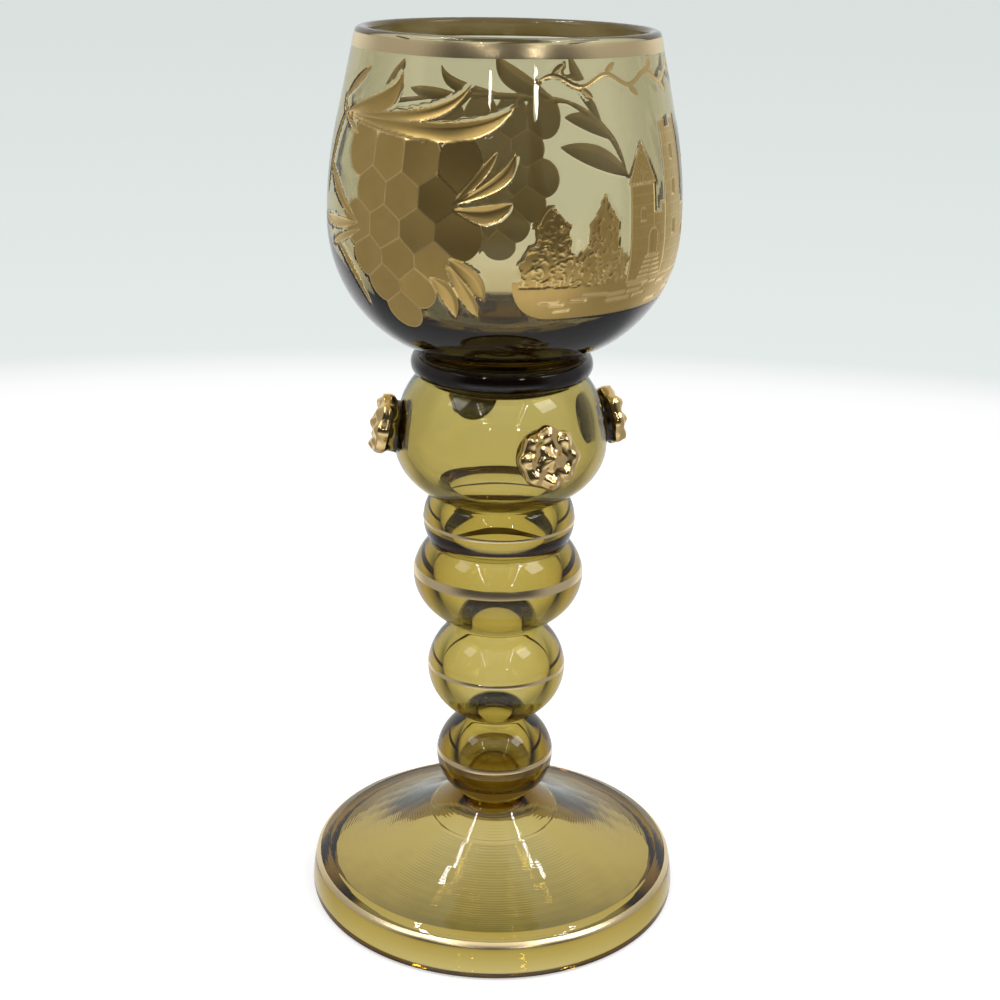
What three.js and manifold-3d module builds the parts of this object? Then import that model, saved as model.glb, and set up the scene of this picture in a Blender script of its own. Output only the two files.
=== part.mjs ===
// A gilt roemer glass: bowl, collar, prunted bulb, knopped stem and foot, each its own piece of glass,
// with the gold that lies on them. Millimetres, +Z up, origin in the middle of the foot's contact ring.
// Azimuth is in degrees, 0 at the front (-Y), rising towards +X.
import * as THREE from 'three';
import Module from 'manifold-3d';
import { mergeVertices } from 'three/addons/utils/BufferGeometryUtils.js';

const wasm = await Module();
wasm.setup();

// Facets round the glass, shared by all turned pieces so that their faces meet
const TURN_STEPS = 32;
const CLEARANCE = 0.3;
const GOLD_THICKNESS = 0.25;
// Longest edge of the gilt skins' facets, and their distance from the bowl's true round
const SKIN_EDGE = 9;
const SKIN_LIFT = 0.4;

// Foot
const FOOT_RADIUS = 41.46;
const FOOT_SHOULDER_RADIUS = 39.8;
const FOOT_SHOULDER_HEIGHT = 8.0;
const FOOT_SHOULDER_ROUND = 1.2;
const FOOT_CONTACT_INNER_RADIUS = 37.6;
const FOOT_CONTACT_OUTER_RADIUS = 40.6;
const FOOT_EDGE_ROUND = 0.9;
const FOOT_INNER_ROUND = 2.0;
const FOOT_THICKNESS = 3.2;
const FOOT_FLARE = 1.6;
const FOOT_HEIGHT = 23.5;
const FOOT_NECK_RADIUS = 8.3;
const FOOT_KICK_DEPTH = 5.5;
const FOOT_KICK_RADIUS = 12.3;
const FOOT_BAND_WIDTH = 2.4;

// Stem and bulb, from the foot upward. Each bulge runs from the crease below it to the crease above it:
// height, belly height above the lower crease, belly radius, radius of the upper crease, degrees of an
// ellipse that the curve runs through below and above the belly, wall at the belly and bore radius at the
// upper crease.
const LOWER_KNOP = {
  height: 18.6, bellyAt: 8.8, belly: 13.03, crease: 6.35, below: 51.3, above: 60.5, wall: 3.5, bore: 4.0,
};
const MIDDLE_KNOP = {
  height: 22.4, bellyAt: 11.8, belly: 15.13, crease: 8.63, below: 65.5, above: 55.1, wall: 2.0, bore: 6.2,
};
const UPPER_KNOP = {
  height: 19.2, bellyAt: 11.5, belly: 18.35, crease: 14.73, below: 61.6, above: 36.9, wall: 1.6, bore: 12.4,
};
const RING_KNOP = {
  height: 10.7, bellyAt: 5.0, belly: 16.26, crease: 14.0, below: 50.4, above: 60.5, wall: 2.0, bore: 11.6,
};
const BULB = {
  height: 26.2, bellyAt: 11.45, belly: 22.47, crease: 17.2, below: 57.1, above: 61.6, wall: 1.5, bore: 16.0,
};
const STEM_FLOOR = 3.0;
const STEM_FLOOR_RADIUS = 5.0;
const THROAT_LAND = 0.8;

// Gilt bands of the knops, and how far each lies above its knop's belly
const LOWER_BAND = { width: 1.1, rise: 1.1 };
const MIDDLE_BAND = { width: 0.9, rise: 1.1 };
const UPPER_BAND = { width: 1.9, rise: 1.5 };
const RING_BAND = { width: 0.7, rise: 0.2 };

// Collar between bulb and bowl
const COLLAR_HEIGHT = 4.7;
const COLLAR_RADIUS = 19.0;
const COLLAR_SEAT_RADIUS = 17.2;
const COLLAR_PLUG_DEPTH = 2.2;

// Bowl, heights measured from the collar's top face
const BOWL_HEIGHT = 64.7;
const BOWL_BELLY_HEIGHT = 27.7;
const BOWL_BELLY_RADIUS = 35.75;
const BOWL_CORE_RADIUS = 9.8;
const BOWL_SEAT_LAND = 1.9;
const BOWL_SHOULDER_HEIGHT = 46.7;
const BOWL_SHOULDER_ARC = 87.0;
const BOWL_FLOOR_HEIGHT = 5.2;
const BOWL_INNER_CORE_RADIUS = 9.0;
const BOWL_WALL = 2.5;
const RIM_BAND_DROP = 1.0;
const RIM_BAND_WIDTH = 2.6;

// Prunts on the bulb
const PRUNT_AZIMUTHS = [23, 109, 197, -86];
const PRUNT_HEIGHT_ABOVE_BELLY = 3.15;
const PRUNT_TILT = 12;
const PRUNT_RADIUS = 6.6;
const PRUNT_NECK_RADIUS = 5.6;
const PRUNT_PROJECTION = 4.7;
const PRUNT_NECK_LENGTH = 2.3;
const PRUNT_BACK_ROUND = 0.4;
const PRUNT_ROOT = 5;
const PRUNT_LOBES = 8;
const PRUNT_LOBE_DEPTH = 0.55;
const PRUNT_BOSS_HEIGHT = 1.3;
const PRUNT_RELIEF = 0.9;

// Gilt grape motif on the bowl, placed by its first berry's azimuth and the height of its top row above
// the collar. A row is its drop below the top, how many berry pitches it starts from the first berry, and
// its number of berries. The vine is drawn in grid steps from the first berry. A leaf runs from its base
// to its tip, between two curves given by how far their two control points lie to the left of that line.
const BERRY_PITCH = 7.6;
const BERRY_RADIUS = 4.4;
const BERRY_SIDES = 10;
const BERRY_ROWS = [
  { drop: 0.6, start: 0, count: 4 },
  { drop: 7.9, start: 0.5, count: 3 },
  { drop: 13.8, start: 0, count: 4 },
  { drop: 19.4, start: 0.4, count: 3 },
  { drop: 24.6, start: 0.9, count: 2 },
  { drop: 29.5, start: 1.35, count: 1 },
];
const GRAPE_TOP_ROW_HEIGHT = 44.0;
const FRONT_GRAPE_AZIMUTH = -51;
const BACK_GRAPE_AZIMUTH = 166;
const VINE_GRID = 1.0;
const LEAF_CONTROLS = [0.35, 0.8];
const VINE_NODE = [-10, 5.3];
const FRONT_LEAVES = [
  { from: [-12, 7.9], to: [-1.6, 14.6], left: [1.2, 1], right: [-1.2, -1] },
  { from: [-10.5, 5], to: [-12.2, 8.8], left: [0.8, 0.8], right: [-0.8, -0.8] },
  { from: VINE_NODE, to: [8.5, 14.5], left: [0.5, -3.8], right: [-1.5, -11] },
  { from: VINE_NODE, to: [24.8, 13], left: [-1, -4.9], right: [-1.5, -10] },
  { from: VINE_NODE, to: [33.7, 9.2], left: [-0.5, -4.1], right: [-1.2, -11.8] },
  { from: VINE_NODE, to: [16.1, 2.2], left: [0.6, 0.6], right: [-0.5, -0.5] },
  { from: [6, 6], to: [23.7, 2.4], left: [1.2, 1.0], right: [-0.6, -0.6] },
  { from: VINE_NODE, to: [-2.3, 2], left: [0.8, 0.6], right: [-0.6, -0.6] },
  { from: [-15, -11], to: [-9, 6.5], left: [3.1, 3.1], right: [0.9, 0.9] },
  { from: [22.1, -8.4], to: [30.3, 1.4], left: [1, 0.6], right: [-1.6, -2] },
  { from: [22.1, -8.4], to: [33.7, 1.5], left: [-0.6, -1.8], right: [-2.5, -6.2] },
  { from: [22.1, -9.2], to: [33.4, -7.5], left: [0.3, 0.2], right: [-4.5, -4.4] },
  { from: [17.3, -21.8], to: [22, -30], left: [5, 3.4], right: [-0.5, -0.4] },
  { from: [21.2, -18], to: [28, -26], left: [3.6, 4], right: [-2, -1.5] },
  { from: [20.8, -19], to: [26.7, -29.6], left: [2.2, 2.5], right: [-1.6, -1.8] },
  { from: [0, -14], to: [-14, -4], left: [2.3, 2.3], right: [-0.9, -0.9] },
  { from: [0, -14], to: [-17, -15], left: [2.3, 2.3], right: [-0.9, -0.9] },
  { from: [-10.9, -17.7], to: [-0.7, -30.2], left: [5, 3.5], right: [2.5, 1] },
  { from: [1, -15], to: [-11.5, -19.5], left: [1.2, 1.2], right: [-0.9, -0.9] },
];
const BACK_LEAVES = [
  { from: [-1, 4.6], to: [-23.5, -12.5], left: [-4.9, -4.9], right: [-7.3, -7.3] },
  { from: [-9, 3.2], to: [22, 4.3], left: [1.6, 1.4], right: [-0.6, -0.6] },
  { from: [20, 4.3], to: [50, 4.2], left: [0.7, 0.7], right: [-0.7, -0.7] },
  { from: [20, 4.2], to: [34.8, 6.8], left: [1.4, 1], right: [-2.4, -2.4] },
  { from: [9.9, 4.6], to: [26.3, 11.3], left: [-0.5, -2.5], right: [-2.5, -7] },
  { from: [-3.3, 3.4], to: [11.7, 12.6], left: [1.6, 1], right: [-3, -7] },
  { from: [-16, -0.6], to: [-7.6, 13.7], left: [1.2, 1.2], right: [-3, -3.6] },
  { from: [-19.2, -3.8], to: [-5.4, 0.1], left: [4.2, 3.8], right: [-1, -1] },
  { from: [-24.2, -10.8], to: [-4.2, -6.7], left: [5.5, 3.2], right: [-2.6, -2] },
  { from: [46, 4], to: [38, 13], left: [2, 4.4], right: [-2.4, -1.4] },
  { from: [8, -1], to: [5, 5], left: [0.9, 0.9], right: [-0.9, -0.9] },
];

// Gilt vignette on the bowl: water, two trees and a castle, placed by its left end
const VIGNETTE_AZIMUTH = 2.5;
const VIGNETTE_LENGTH = 70;
const WATERLINE_HEIGHT = 20.6;
const WATER_DEPTH = 6.4;
const BANK_HEIGHT = 1.3;
const TREE_WIDTH = 12.5;
const TREES = [{ at: 7.6, height: 15.5 }, { at: 18.2, height: 16.8 }, { at: 60.5, height: 14.2 }];
const WALL = { from: 24.5, width: 29.5, height: 14 };
const KEEP = { from: 35.5, width: 9, height: 29 };
const TURRET_WIDTH = 7;
const TURRETS = [{ from: 24.5, height: 18 }, { from: 47.5, height: 20 }];
const ROOF_HEIGHT = 8;
const ROOF_EAVE = 0.7;
const MERLON_WIDTH = 2.4;
const MERLON_HEIGHT = 1.5;

// Gilt tendril above the vignette
const TENDRIL_AZIMUTH = 10;
const TENDRIL_LENGTH = 50;
const TENDRIL_HEIGHT = 57.4;
const TENDRIL_WAVES = 4;
const TENDRIL_SWING = 1.0;
const TENDRIL_WIDTH = 0.8;
const TENDRIL_LEAF = { length: 3, rise: 2, swell: 0.7 };

const glassColour = { color: 0x6b6330, roughness: 0.05, metalness: 0 };
const darkGlassColour = { color: 0x2f2c1c, roughness: 0.05, metalness: 0 };
const polishedGold = { color: 0xd9a95e, roughness: 0.25, metalness: 1 };
const mattGold = { color: 0xa88755, roughness: 0.5, metalness: 1 };

const glass = new THREE.Group();

function place(name, geometry, look) {
  const mesh = new THREE.Mesh(geometry, new THREE.MeshStandardMaterial(look));
  mesh.name = name;
  glass.add(mesh);
}

// A closed profile of [radius, height] pairs, turned about the Z axis
function turned(profile) {
  const points = profile.map(([radius, height]) => new THREE.Vector2(radius, height));
  return new THREE.LatheGeometry(points, TURN_STEPS).rotateX(Math.PI / 2);
}

function toSolid(geometry) {
  const bare = geometry.clone();
  bare.deleteAttribute('normal');
  bare.deleteAttribute('uv');
  const merged = mergeVertices(bare, 1e-4);
  return new wasm.Manifold(new wasm.Mesh({
    numProp: 3,
    vertProperties: merged.attributes.position.array,
    triVerts: new Uint32Array(merged.index.array),
  }));
}

function toGeometry(solid) {
  const mesh = solid.getMesh();
  const geometry = new THREE.BufferGeometry();
  geometry.setAttribute('position', new THREE.BufferAttribute(new Float32Array(mesh.vertProperties), 3));
  geometry.setIndex(new THREE.BufferAttribute(new Uint32Array(mesh.triVerts), 1));
  geometry.computeVertexNormals();
  return geometry;
}

// How far a bulge has drawn in from its belly: 0 at the belly, 1 at the crease
function drawnIn(share, degrees) {
  const run = Math.sin(THREE.MathUtils.degToRad(degrees));
  return (1 - Math.sqrt(1 - (run * share) ** 2)) / (1 - Math.sqrt(1 - run ** 2));
}

// Profile points of one bulge from its lower to its upper end, both included
function bulgeCurve({ low, high, lowRadius, highRadius, bellyZ, belly, below, above }, stepsEach) {
  const points = [];
  for (let i = 0; i <= stepsEach; i += 1) {
    const share = Math.cos((i / stepsEach) * (Math.PI / 2));
    points.push([belly - (belly - lowRadius) * drawnIn(share, below), bellyZ - (bellyZ - low) * share]);
  }
  for (let i = 1; i <= stepsEach; i += 1) {
    const share = Math.sin((i / stepsEach) * (Math.PI / 2));
    points.push([belly - (belly - highRadius) * drawnIn(share, above), bellyZ + (high - bellyZ) * share]);
  }
  return points;
}

function stackBulge(bulge, low, lowRadius, lowBore) {
  const outer = {
    low, high: low + bulge.height, lowRadius, highRadius: bulge.crease,
    bellyZ: low + bulge.bellyAt, belly: bulge.belly, below: bulge.below, above: bulge.above,
  };
  const inner = {
    ...outer, low: low + THROAT_LAND, high: outer.high - THROAT_LAND,
    lowRadius: lowBore, highRadius: bulge.bore, belly: bulge.belly - bulge.wall,
  };
  return { outer, inner };
}

const lower = stackBulge(LOWER_KNOP, FOOT_HEIGHT, FOOT_NECK_RADIUS, STEM_FLOOR_RADIUS);
lower.inner.low = FOOT_HEIGHT + STEM_FLOOR;
const middle = stackBulge(MIDDLE_KNOP, lower.outer.high, LOWER_KNOP.crease, LOWER_KNOP.bore);
const upper = stackBulge(UPPER_KNOP, middle.outer.high, MIDDLE_KNOP.crease, MIDDLE_KNOP.bore);
const ring = stackBulge(RING_KNOP, upper.outer.high, UPPER_KNOP.crease, UPPER_KNOP.bore);
const bulb = stackBulge(BULB, ring.outer.high, RING_KNOP.crease, RING_KNOP.bore);

// A gilt band lies near the widest place of a knop, on facets that are points of the knop's profile too
const BAND_MARGIN = 0.2;

function knopProfile(knop, band, stepsEach) {
  const { bellyZ, belly } = knop.outer;
  const bandZ = bellyZ + band.rise;
  const clear = band.width / 2 + BAND_MARGIN;
  return [
    ...bulgeCurve(knop.outer, stepsEach).filter(([, z]) => Math.abs(z - bandZ) > clear),
    [belly, bandZ - band.width / 2],
    [belly, bandZ + band.width / 2],
  ].sort((a, b) => a[1] - b[1]);
}

function knopBand(knop, band) {
  const { bellyZ, belly } = knop.outer;
  const low = bellyZ + band.rise - band.width / 2;
  const high = low + band.width;
  const outside = belly + GOLD_THICKNESS;
  return turned([[belly, low], [outside, low], [outside, high], [belly, high], [belly, low]]);
}

// Stem: one hollow piece of four knops, closed at its foot end
place('stem', turned([
  [0, FOOT_HEIGHT],
  ...knopProfile(lower, LOWER_BAND, 4),
  ...knopProfile(middle, MIDDLE_BAND, 4).slice(1),
  ...knopProfile(upper, UPPER_BAND, 4).slice(1),
  ...knopProfile(ring, RING_BAND, 2).slice(1),
  ...[
    [0, lower.inner.low],
    ...bulgeCurve(lower.inner, 2),
    ...bulgeCurve(middle.inner, 2),
    ...bulgeCurve(upper.inner, 3),
    ...bulgeCurve(ring.inner, 2),
    [RING_KNOP.bore, ring.outer.high],
  ].reverse(),
]), glassColour);

place('lower_knop_band', knopBand(lower, LOWER_BAND), polishedGold);
place('middle_knop_band', knopBand(middle, MIDDLE_BAND), polishedGold);
place('upper_knop_band', knopBand(upper, UPPER_BAND), mattGold);
place('ring_knop_band', knopBand(ring, RING_BAND), polishedGold);

// Bulb: a thin hollow ball, open at both ends
place('bulb', turned([
  [RING_KNOP.bore, bulb.outer.low],
  ...bulgeCurve(bulb.outer, 4),
  [BULB.bore, bulb.outer.high],
  ...bulgeCurve(bulb.inner, 4).reverse(),
  [RING_KNOP.bore, bulb.outer.low],
]), glassColour);

// Foot: a trumpet-shaped disc, hollow underneath, with a rounded shoulder that carries the gilt band
const footBandInnerRadius = FOOT_SHOULDER_RADIUS - FOOT_BAND_WIDTH;
const footRimHeight = FOOT_SHOULDER_HEIGHT + FOOT_SHOULDER_ROUND;

function footTop(radius) {
  const share = (footBandInnerRadius - radius) / (footBandInnerRadius - FOOT_NECK_RADIUS);
  return footRimHeight + (FOOT_HEIGHT - footRimHeight) * share ** FOOT_FLARE;
}

function footTopPoints(from, to, steps) {
  return Array.from({ length: steps + 1 }, (_, i) => {
    const radius = from + ((to - from) * i) / steps;
    return [radius, footTop(radius)];
  });
}

const kickHeight = FOOT_HEIGHT - FOOT_KICK_DEPTH;
place('foot', turned([
  [0, kickHeight],
  ...footTopPoints(FOOT_KICK_RADIUS, FOOT_CONTACT_INNER_RADIUS - FOOT_INNER_ROUND, 5)
    .map(([radius, height]) => [radius, Math.min(height - FOOT_THICKNESS, kickHeight)]),
  [FOOT_CONTACT_INNER_RADIUS, 0],
  [FOOT_CONTACT_OUTER_RADIUS, 0],
  [FOOT_RADIUS, FOOT_EDGE_ROUND],
  [(FOOT_RADIUS + FOOT_SHOULDER_RADIUS) / 2, FOOT_SHOULDER_HEIGHT - FOOT_SHOULDER_ROUND],
  [FOOT_SHOULDER_RADIUS, FOOT_SHOULDER_HEIGHT],
  ...footTopPoints(footBandInnerRadius, FOOT_NECK_RADIUS, 7),
  [0, FOOT_HEIGHT],
]), glassColour);

place('foot_band', turned([
  [FOOT_SHOULDER_RADIUS, FOOT_SHOULDER_HEIGHT],
  [FOOT_SHOULDER_RADIUS, FOOT_SHOULDER_HEIGHT + GOLD_THICKNESS],
  [footBandInnerRadius, footRimHeight + GOLD_THICKNESS],
  [footBandInnerRadius, footRimHeight],
  [FOOT_SHOULDER_RADIUS, FOOT_SHOULDER_HEIGHT],
]), polishedGold);

// Collar: a solid disc with a round edge and a plug that stands in the bulb's mouth
const collarLow = bulb.outer.high;
const collarHigh = collarLow + COLLAR_HEIGHT;
const COLLAR_EDGE_POINTS = 5;
const collarEdge = Array.from({ length: COLLAR_EDGE_POINTS }, (_, i) => {
  const angle = ((i + 1) / (COLLAR_EDGE_POINTS + 1) - 0.5) * Math.PI;
  return [
    COLLAR_SEAT_RADIUS + (COLLAR_RADIUS - COLLAR_SEAT_RADIUS) * Math.cos(angle),
    collarLow + (COLLAR_HEIGHT / 2) * (1 + Math.sin(angle)),
  ];
});
place('collar', turned([
  [0, collarLow - COLLAR_PLUG_DEPTH],
  [BULB.bore - CLEARANCE, collarLow - COLLAR_PLUG_DEPTH],
  [BULB.bore - CLEARANCE, collarLow],
  [COLLAR_SEAT_RADIUS, collarLow],
  ...collarEdge,
  [COLLAR_SEAT_RADIUS, collarHigh],
  [0, collarHigh],
]), darkGlassColour);

// Bowl
const bellyZ = collarHigh + BOWL_BELLY_HEIGHT;
const shoulderZ = collarHigh + BOWL_SHOULDER_HEIGHT;
const lipZ = collarHigh + BOWL_HEIGHT;

function bowlOuterRadius(z) {
  if (z < bellyZ) {
    const share = Math.min(1, (bellyZ - z) / BOWL_BELLY_HEIGHT);
    const round = BOWL_CORE_RADIUS + (BOWL_BELLY_RADIUS - BOWL_CORE_RADIUS) * Math.sqrt(1 - share * share);
    return Math.max(COLLAR_SEAT_RADIUS, round);
  }
  const rise = Math.min(z, shoulderZ) - bellyZ;
  const drop = BOWL_SHOULDER_ARC - Math.sqrt(BOWL_SHOULDER_ARC ** 2 - rise ** 2);
  const slope = rise / Math.sqrt(BOWL_SHOULDER_ARC ** 2 - rise ** 2);
  return BOWL_BELLY_RADIUS - drop - slope * Math.max(0, z - shoulderZ);
}

function bowlInnerRadius(z) {
  const floorZ = collarHigh + BOWL_FLOOR_HEIGHT;
  if (z >= bellyZ) return bowlOuterRadius(z) - BOWL_WALL;
  const share = Math.min(1, (bellyZ - z) / (bellyZ - floorZ));
  const belly = BOWL_BELLY_RADIUS - BOWL_WALL;
  return BOWL_INNER_CORE_RADIUS + (belly - BOWL_INNER_CORE_RADIUS) * Math.sqrt(1 - share * share);
}

function roundedHeights(low, high, steps) {
  return Array.from({ length: steps + 1 }, (_, i) => (
    high - (high - low) * Math.cos((i / steps) * (Math.PI / 2))
  ));
}

const rimBandHigh = lipZ - RIM_BAND_DROP;
const rimBandLow = rimBandHigh - RIM_BAND_WIDTH;
const bowlOuterHeights = [
  ...roundedHeights(collarHigh + BOWL_SEAT_LAND, bellyZ, 7),
  bellyZ + (shoulderZ - bellyZ) / 2, shoulderZ, rimBandLow, rimBandHigh,
];
const bowlInnerHeights = [
  ...roundedHeights(collarHigh + BOWL_FLOOR_HEIGHT, bellyZ, 7),
  bellyZ + (shoulderZ - bellyZ) / 2, shoulderZ, lipZ - RIM_BAND_DROP,
];
const lipRound = BOWL_WALL * 0.2;
place('bowl', turned([
  [0, collarHigh],
  [COLLAR_SEAT_RADIUS, collarHigh],
  ...bowlOuterHeights.map((z) => [bowlOuterRadius(z), z]),
  [bowlOuterRadius(lipZ) - lipRound, lipZ],
  [bowlInnerRadius(lipZ) + lipRound, lipZ],
  ...bowlInnerHeights.map((z) => [bowlInnerRadius(z), z]).reverse(),
  [0, collarHigh + BOWL_FLOOR_HEIGHT],
]), glassColour);

place('rim_band', turned([
  [bowlOuterRadius(rimBandLow), rimBandLow],
  [bowlOuterRadius(rimBandLow) + GOLD_THICKNESS, rimBandLow],
  [bowlOuterRadius(rimBandHigh) + GOLD_THICKNESS, rimBandHigh],
  [bowlOuterRadius(rimBandHigh), rimBandHigh],
  [bowlOuterRadius(rimBandLow), rimBandLow],
]), polishedGold);

// Prunts: glass pads with a lobed face, cut to the bulb, and the gilt skin on each face. Made along +Z.
const PRUNT_STEPS = PRUNT_LOBES * 2;

// A closed body made of rings, each a radius at every step and a height, closed on the axis at both ends
function ringStack(rings, bottom, top) {
  const positions = [0, 0, bottom];
  rings.forEach(({ radiusAt, height }) => {
    for (let step = 0; step < PRUNT_STEPS; step += 1) {
      const angle = (step / PRUNT_STEPS) * 2 * Math.PI;
      positions.push(radiusAt(step) * Math.cos(angle), radiusAt(step) * Math.sin(angle), height);
    }
  });
  positions.push(0, 0, top);
  const index = [];
  const at = (ring, step) => 1 + ring * PRUNT_STEPS + (step % PRUNT_STEPS);
  const last = rings.length - 1;
  const topPoint = 1 + rings.length * PRUNT_STEPS;
  for (let step = 0; step < PRUNT_STEPS; step += 1) {
    index.push(0, at(0, step + 1), at(0, step));
    for (let i = 0; i < last; i += 1) {
      index.push(at(i, step), at(i, step + 1), at(i + 1, step + 1));
      index.push(at(i, step), at(i + 1, step + 1), at(i + 1, step));
    }
    index.push(at(last, step), at(last, step + 1), topPoint);
  }
  const geometry = new THREE.BufferGeometry();
  geometry.setAttribute('position', new THREE.Float32BufferAttribute(positions, 3));
  geometry.setIndex(index);
  return geometry;
}

const plain = (radius) => () => radius;
const lobed = (radius) => (step) => radius - (step % 2 ? PRUNT_LOBE_DEPTH : 0);

// The face rises from its edge to a raised border, falls to a moat and rises again to the boss
function faceRings(lift) {
  return [
    { share: 1, rise: 0 },
    { share: 0.86, rise: PRUNT_RELIEF },
    { share: 0.55, rise: PRUNT_RELIEF / 3 },
    { share: 0.3, rise: PRUNT_BOSS_HEIGHT },
  ].map(({ share, rise }) => ({
    radiusAt: lobed(PRUNT_RADIUS * share), height: PRUNT_PROJECTION + rise + lift,
  }));
}

const pruntTop = PRUNT_PROJECTION + PRUNT_BOSS_HEIGHT;

function pruntPad() {
  return ringStack([
    { radiusAt: plain(PRUNT_NECK_RADIUS), height: -PRUNT_ROOT },
    { radiusAt: plain(PRUNT_NECK_RADIUS), height: PRUNT_NECK_LENGTH },
    { radiusAt: lobed(PRUNT_RADIUS), height: PRUNT_NECK_LENGTH + PRUNT_BACK_ROUND },
    ...faceRings(0),
  ], -PRUNT_ROOT, pruntTop);
}

function pruntSkin() {
  const outerLift = CLEARANCE + GOLD_THICKNESS;
  const rings = [...faceRings(CLEARANCE).reverse(), ...faceRings(outerLift)];
  return ringStack(rings, pruntTop + CLEARANCE, pruntTop + outerLift);
}

// The bulb's outer form, larger by the clearance, takes the pad's back off
const bulbForm = toSolid(turned([
  [0, bulb.outer.low],
  ...bulgeCurve(bulb.outer, 4).map(([radius, z]) => [radius + CLEARANCE, z]),
  [0, bulb.outer.high],
]));
const pruntZ = bulb.outer.bellyZ + PRUNT_HEIGHT_ABOVE_BELLY;
const pruntShare = PRUNT_HEIGHT_ABOVE_BELLY / (BULB.height - BULB.bellyAt);
const pruntSeatRadius = BULB.belly - (BULB.belly - BULB.crease) * drawnIn(pruntShare, BULB.above);

PRUNT_AZIMUTHS.forEach((azimuth, i) => {
  const seat = new THREE.Matrix4()
    .makeRotationZ(THREE.MathUtils.degToRad(azimuth))
    .multiply(new THREE.Matrix4().makeTranslation(0, -pruntSeatRadius, pruntZ))
    .multiply(new THREE.Matrix4().makeRotationX(THREE.MathUtils.degToRad(90 - PRUNT_TILT)));
  const pad = toSolid(pruntPad().applyMatrix4(seat)).subtract(bulbForm);
  place(`prunt_${i + 1}`, toGeometry(pad), darkGlassColour);
  place(`prunt_gilding_${i + 1}`, pruntSkin().applyMatrix4(seat), polishedGold);
});

// Gilt skins on the bowl. Each is drawn flat, as millimetres round the belly and height above the collar,
// joined to one piece, divided finely and laid round the bowl.
function flatPiece(shape) {
  return toSolid(new THREE.ExtrudeGeometry(shape, {
    depth: GOLD_THICKNESS, bevelEnabled: false, curveSegments: 4,
  }));
}

function polygon(points) {
  return new THREE.Shape(points.map(([x, y]) => new THREE.Vector2(x, y)));
}

function berry(x, y) {
  return polygon(Array.from({ length: BERRY_SIDES }, (_, i) => {
    const angle = ((i + 0.5) / BERRY_SIDES) * 2 * Math.PI;
    return [x + BERRY_RADIUS * Math.cos(angle), y + BERRY_RADIUS * Math.sin(angle)];
  }));
}

// A pointed leaf from its base to its tip, between a curve on its left and one on its right
function leaf([x0, y0], [x1, y1], left, right) {
  const length = Math.hypot(x1 - x0, y1 - y0);
  const along = [(x1 - x0) / length, (y1 - y0) / length];
  const control = (share, offset) => [
    x0 + along[0] * length * share - along[1] * offset,
    y0 + along[1] * length * share + along[0] * offset,
  ];
  const [near, far] = LEAF_CONTROLS;
  const shape = new THREE.Shape();
  shape.moveTo(x0, y0);
  shape.bezierCurveTo(...control(near, right[0]), ...control(far, right[1]), x1, y1);
  shape.bezierCurveTo(...control(far, left[1]), ...control(near, left[0]), x0, y0);
  return shape;
}

// Splits each edge longer than the limit at its middle, the same way in both faces that share it
function divided(geometry, longest) {
  const points = [];
  const source = geometry.attributes.position;
  for (let i = 0; i < source.count; i += 1) points.push(new THREE.Vector3().fromBufferAttribute(source, i));
  let faces = [];
  const index = geometry.index.array;
  for (let i = 0; i < index.length; i += 3) faces.push([index[i], index[i + 1], index[i + 2]]);
  for (let anySplit = true; anySplit;) {
    anySplit = false;
    const middles = new Map();
    const middleOf = (a, b) => {
      if (points[a].distanceTo(points[b]) <= longest) return null;
      const key = a < b ? `${a},${b}` : `${b},${a}`;
      if (!middles.has(key)) middles.set(key, points.push(points[a].clone().lerp(points[b], 0.5)) - 1);
      anySplit = true;
      return middles.get(key);
    };
    faces = faces.flatMap((face) => splitFace(face, middleOf));
  }
  const result = new THREE.BufferGeometry();
  result.setAttribute('position', new THREE.Float32BufferAttribute(points.flatMap((p) => p.toArray()), 3));
  result.setIndex(faces.flat());
  return result;
}

function splitFace(face, middleOf) {
  const middles = face.map((corner, i) => middleOf(corner, face[(i + 1) % 3]));
  const count = middles.filter((m) => m !== null).length;
  if (count === 0) return [face];
  if (count === 3) {
    const [ab, bc, ca] = middles;
    return [[face[0], ab, ca], [face[1], bc, ab], [face[2], ca, bc], [ab, bc, ca]];
  }
  // Turned so that the first edge is split and, of two split edges, the second one is too
  const turn = middles.findIndex((m, i) => m !== null && (count === 1 || middles[(i + 1) % 3] !== null));
  const [a, b, c] = [0, 1, 2].map((i) => face[(i + turn) % 3]);
  const ab = middles[turn];
  if (count === 1) return [[a, ab, c], [ab, b, c]];
  const bc = middles[(turn + 1) % 3];
  return [[a, ab, c], [ab, b, bc], [ab, bc, c]];
}

function laidOnBowl(shapes, azimuth) {
  const joined = shapes.map((shape) => flatPiece(shape)).reduce((all, piece) => all.add(piece));
  const fine = divided(toGeometry(joined), SKIN_EDGE);
  const position = fine.attributes.position;
  for (let i = 0; i < position.count; i += 1) {
    const angle = THREE.MathUtils.degToRad(azimuth) + position.getX(i) / BOWL_BELLY_RADIUS;
    const z = collarHigh + position.getY(i);
    const radius = bowlOuterRadius(z) + SKIN_LIFT + position.getZ(i);
    position.setXYZ(i, radius * Math.sin(angle), -radius * Math.cos(angle), z);
  }
  return fine;
}

// Grape motif: rows of berries with the leaves of a vine over and beside them
function grapeMotif(vine) {
  const top = GRAPE_TOP_ROW_HEIGHT;
  const berries = BERRY_ROWS.flatMap(({ drop, start, count }) => Array.from({ length: count }, (_, i) => (
    berry((start + i) * BERRY_PITCH, top - drop)
  )));
  const onGrid = ([x, y]) => [x * VINE_GRID, top + y * VINE_GRID];
  const scaled = (offsets) => offsets.map((offset) => offset * VINE_GRID);
  const leaves = vine.map(({ from, to, left, right }) => (
    leaf(onGrid(from), onGrid(to), scaled(left), scaled(right))
  ));
  return [...berries, ...leaves];
}

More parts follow.
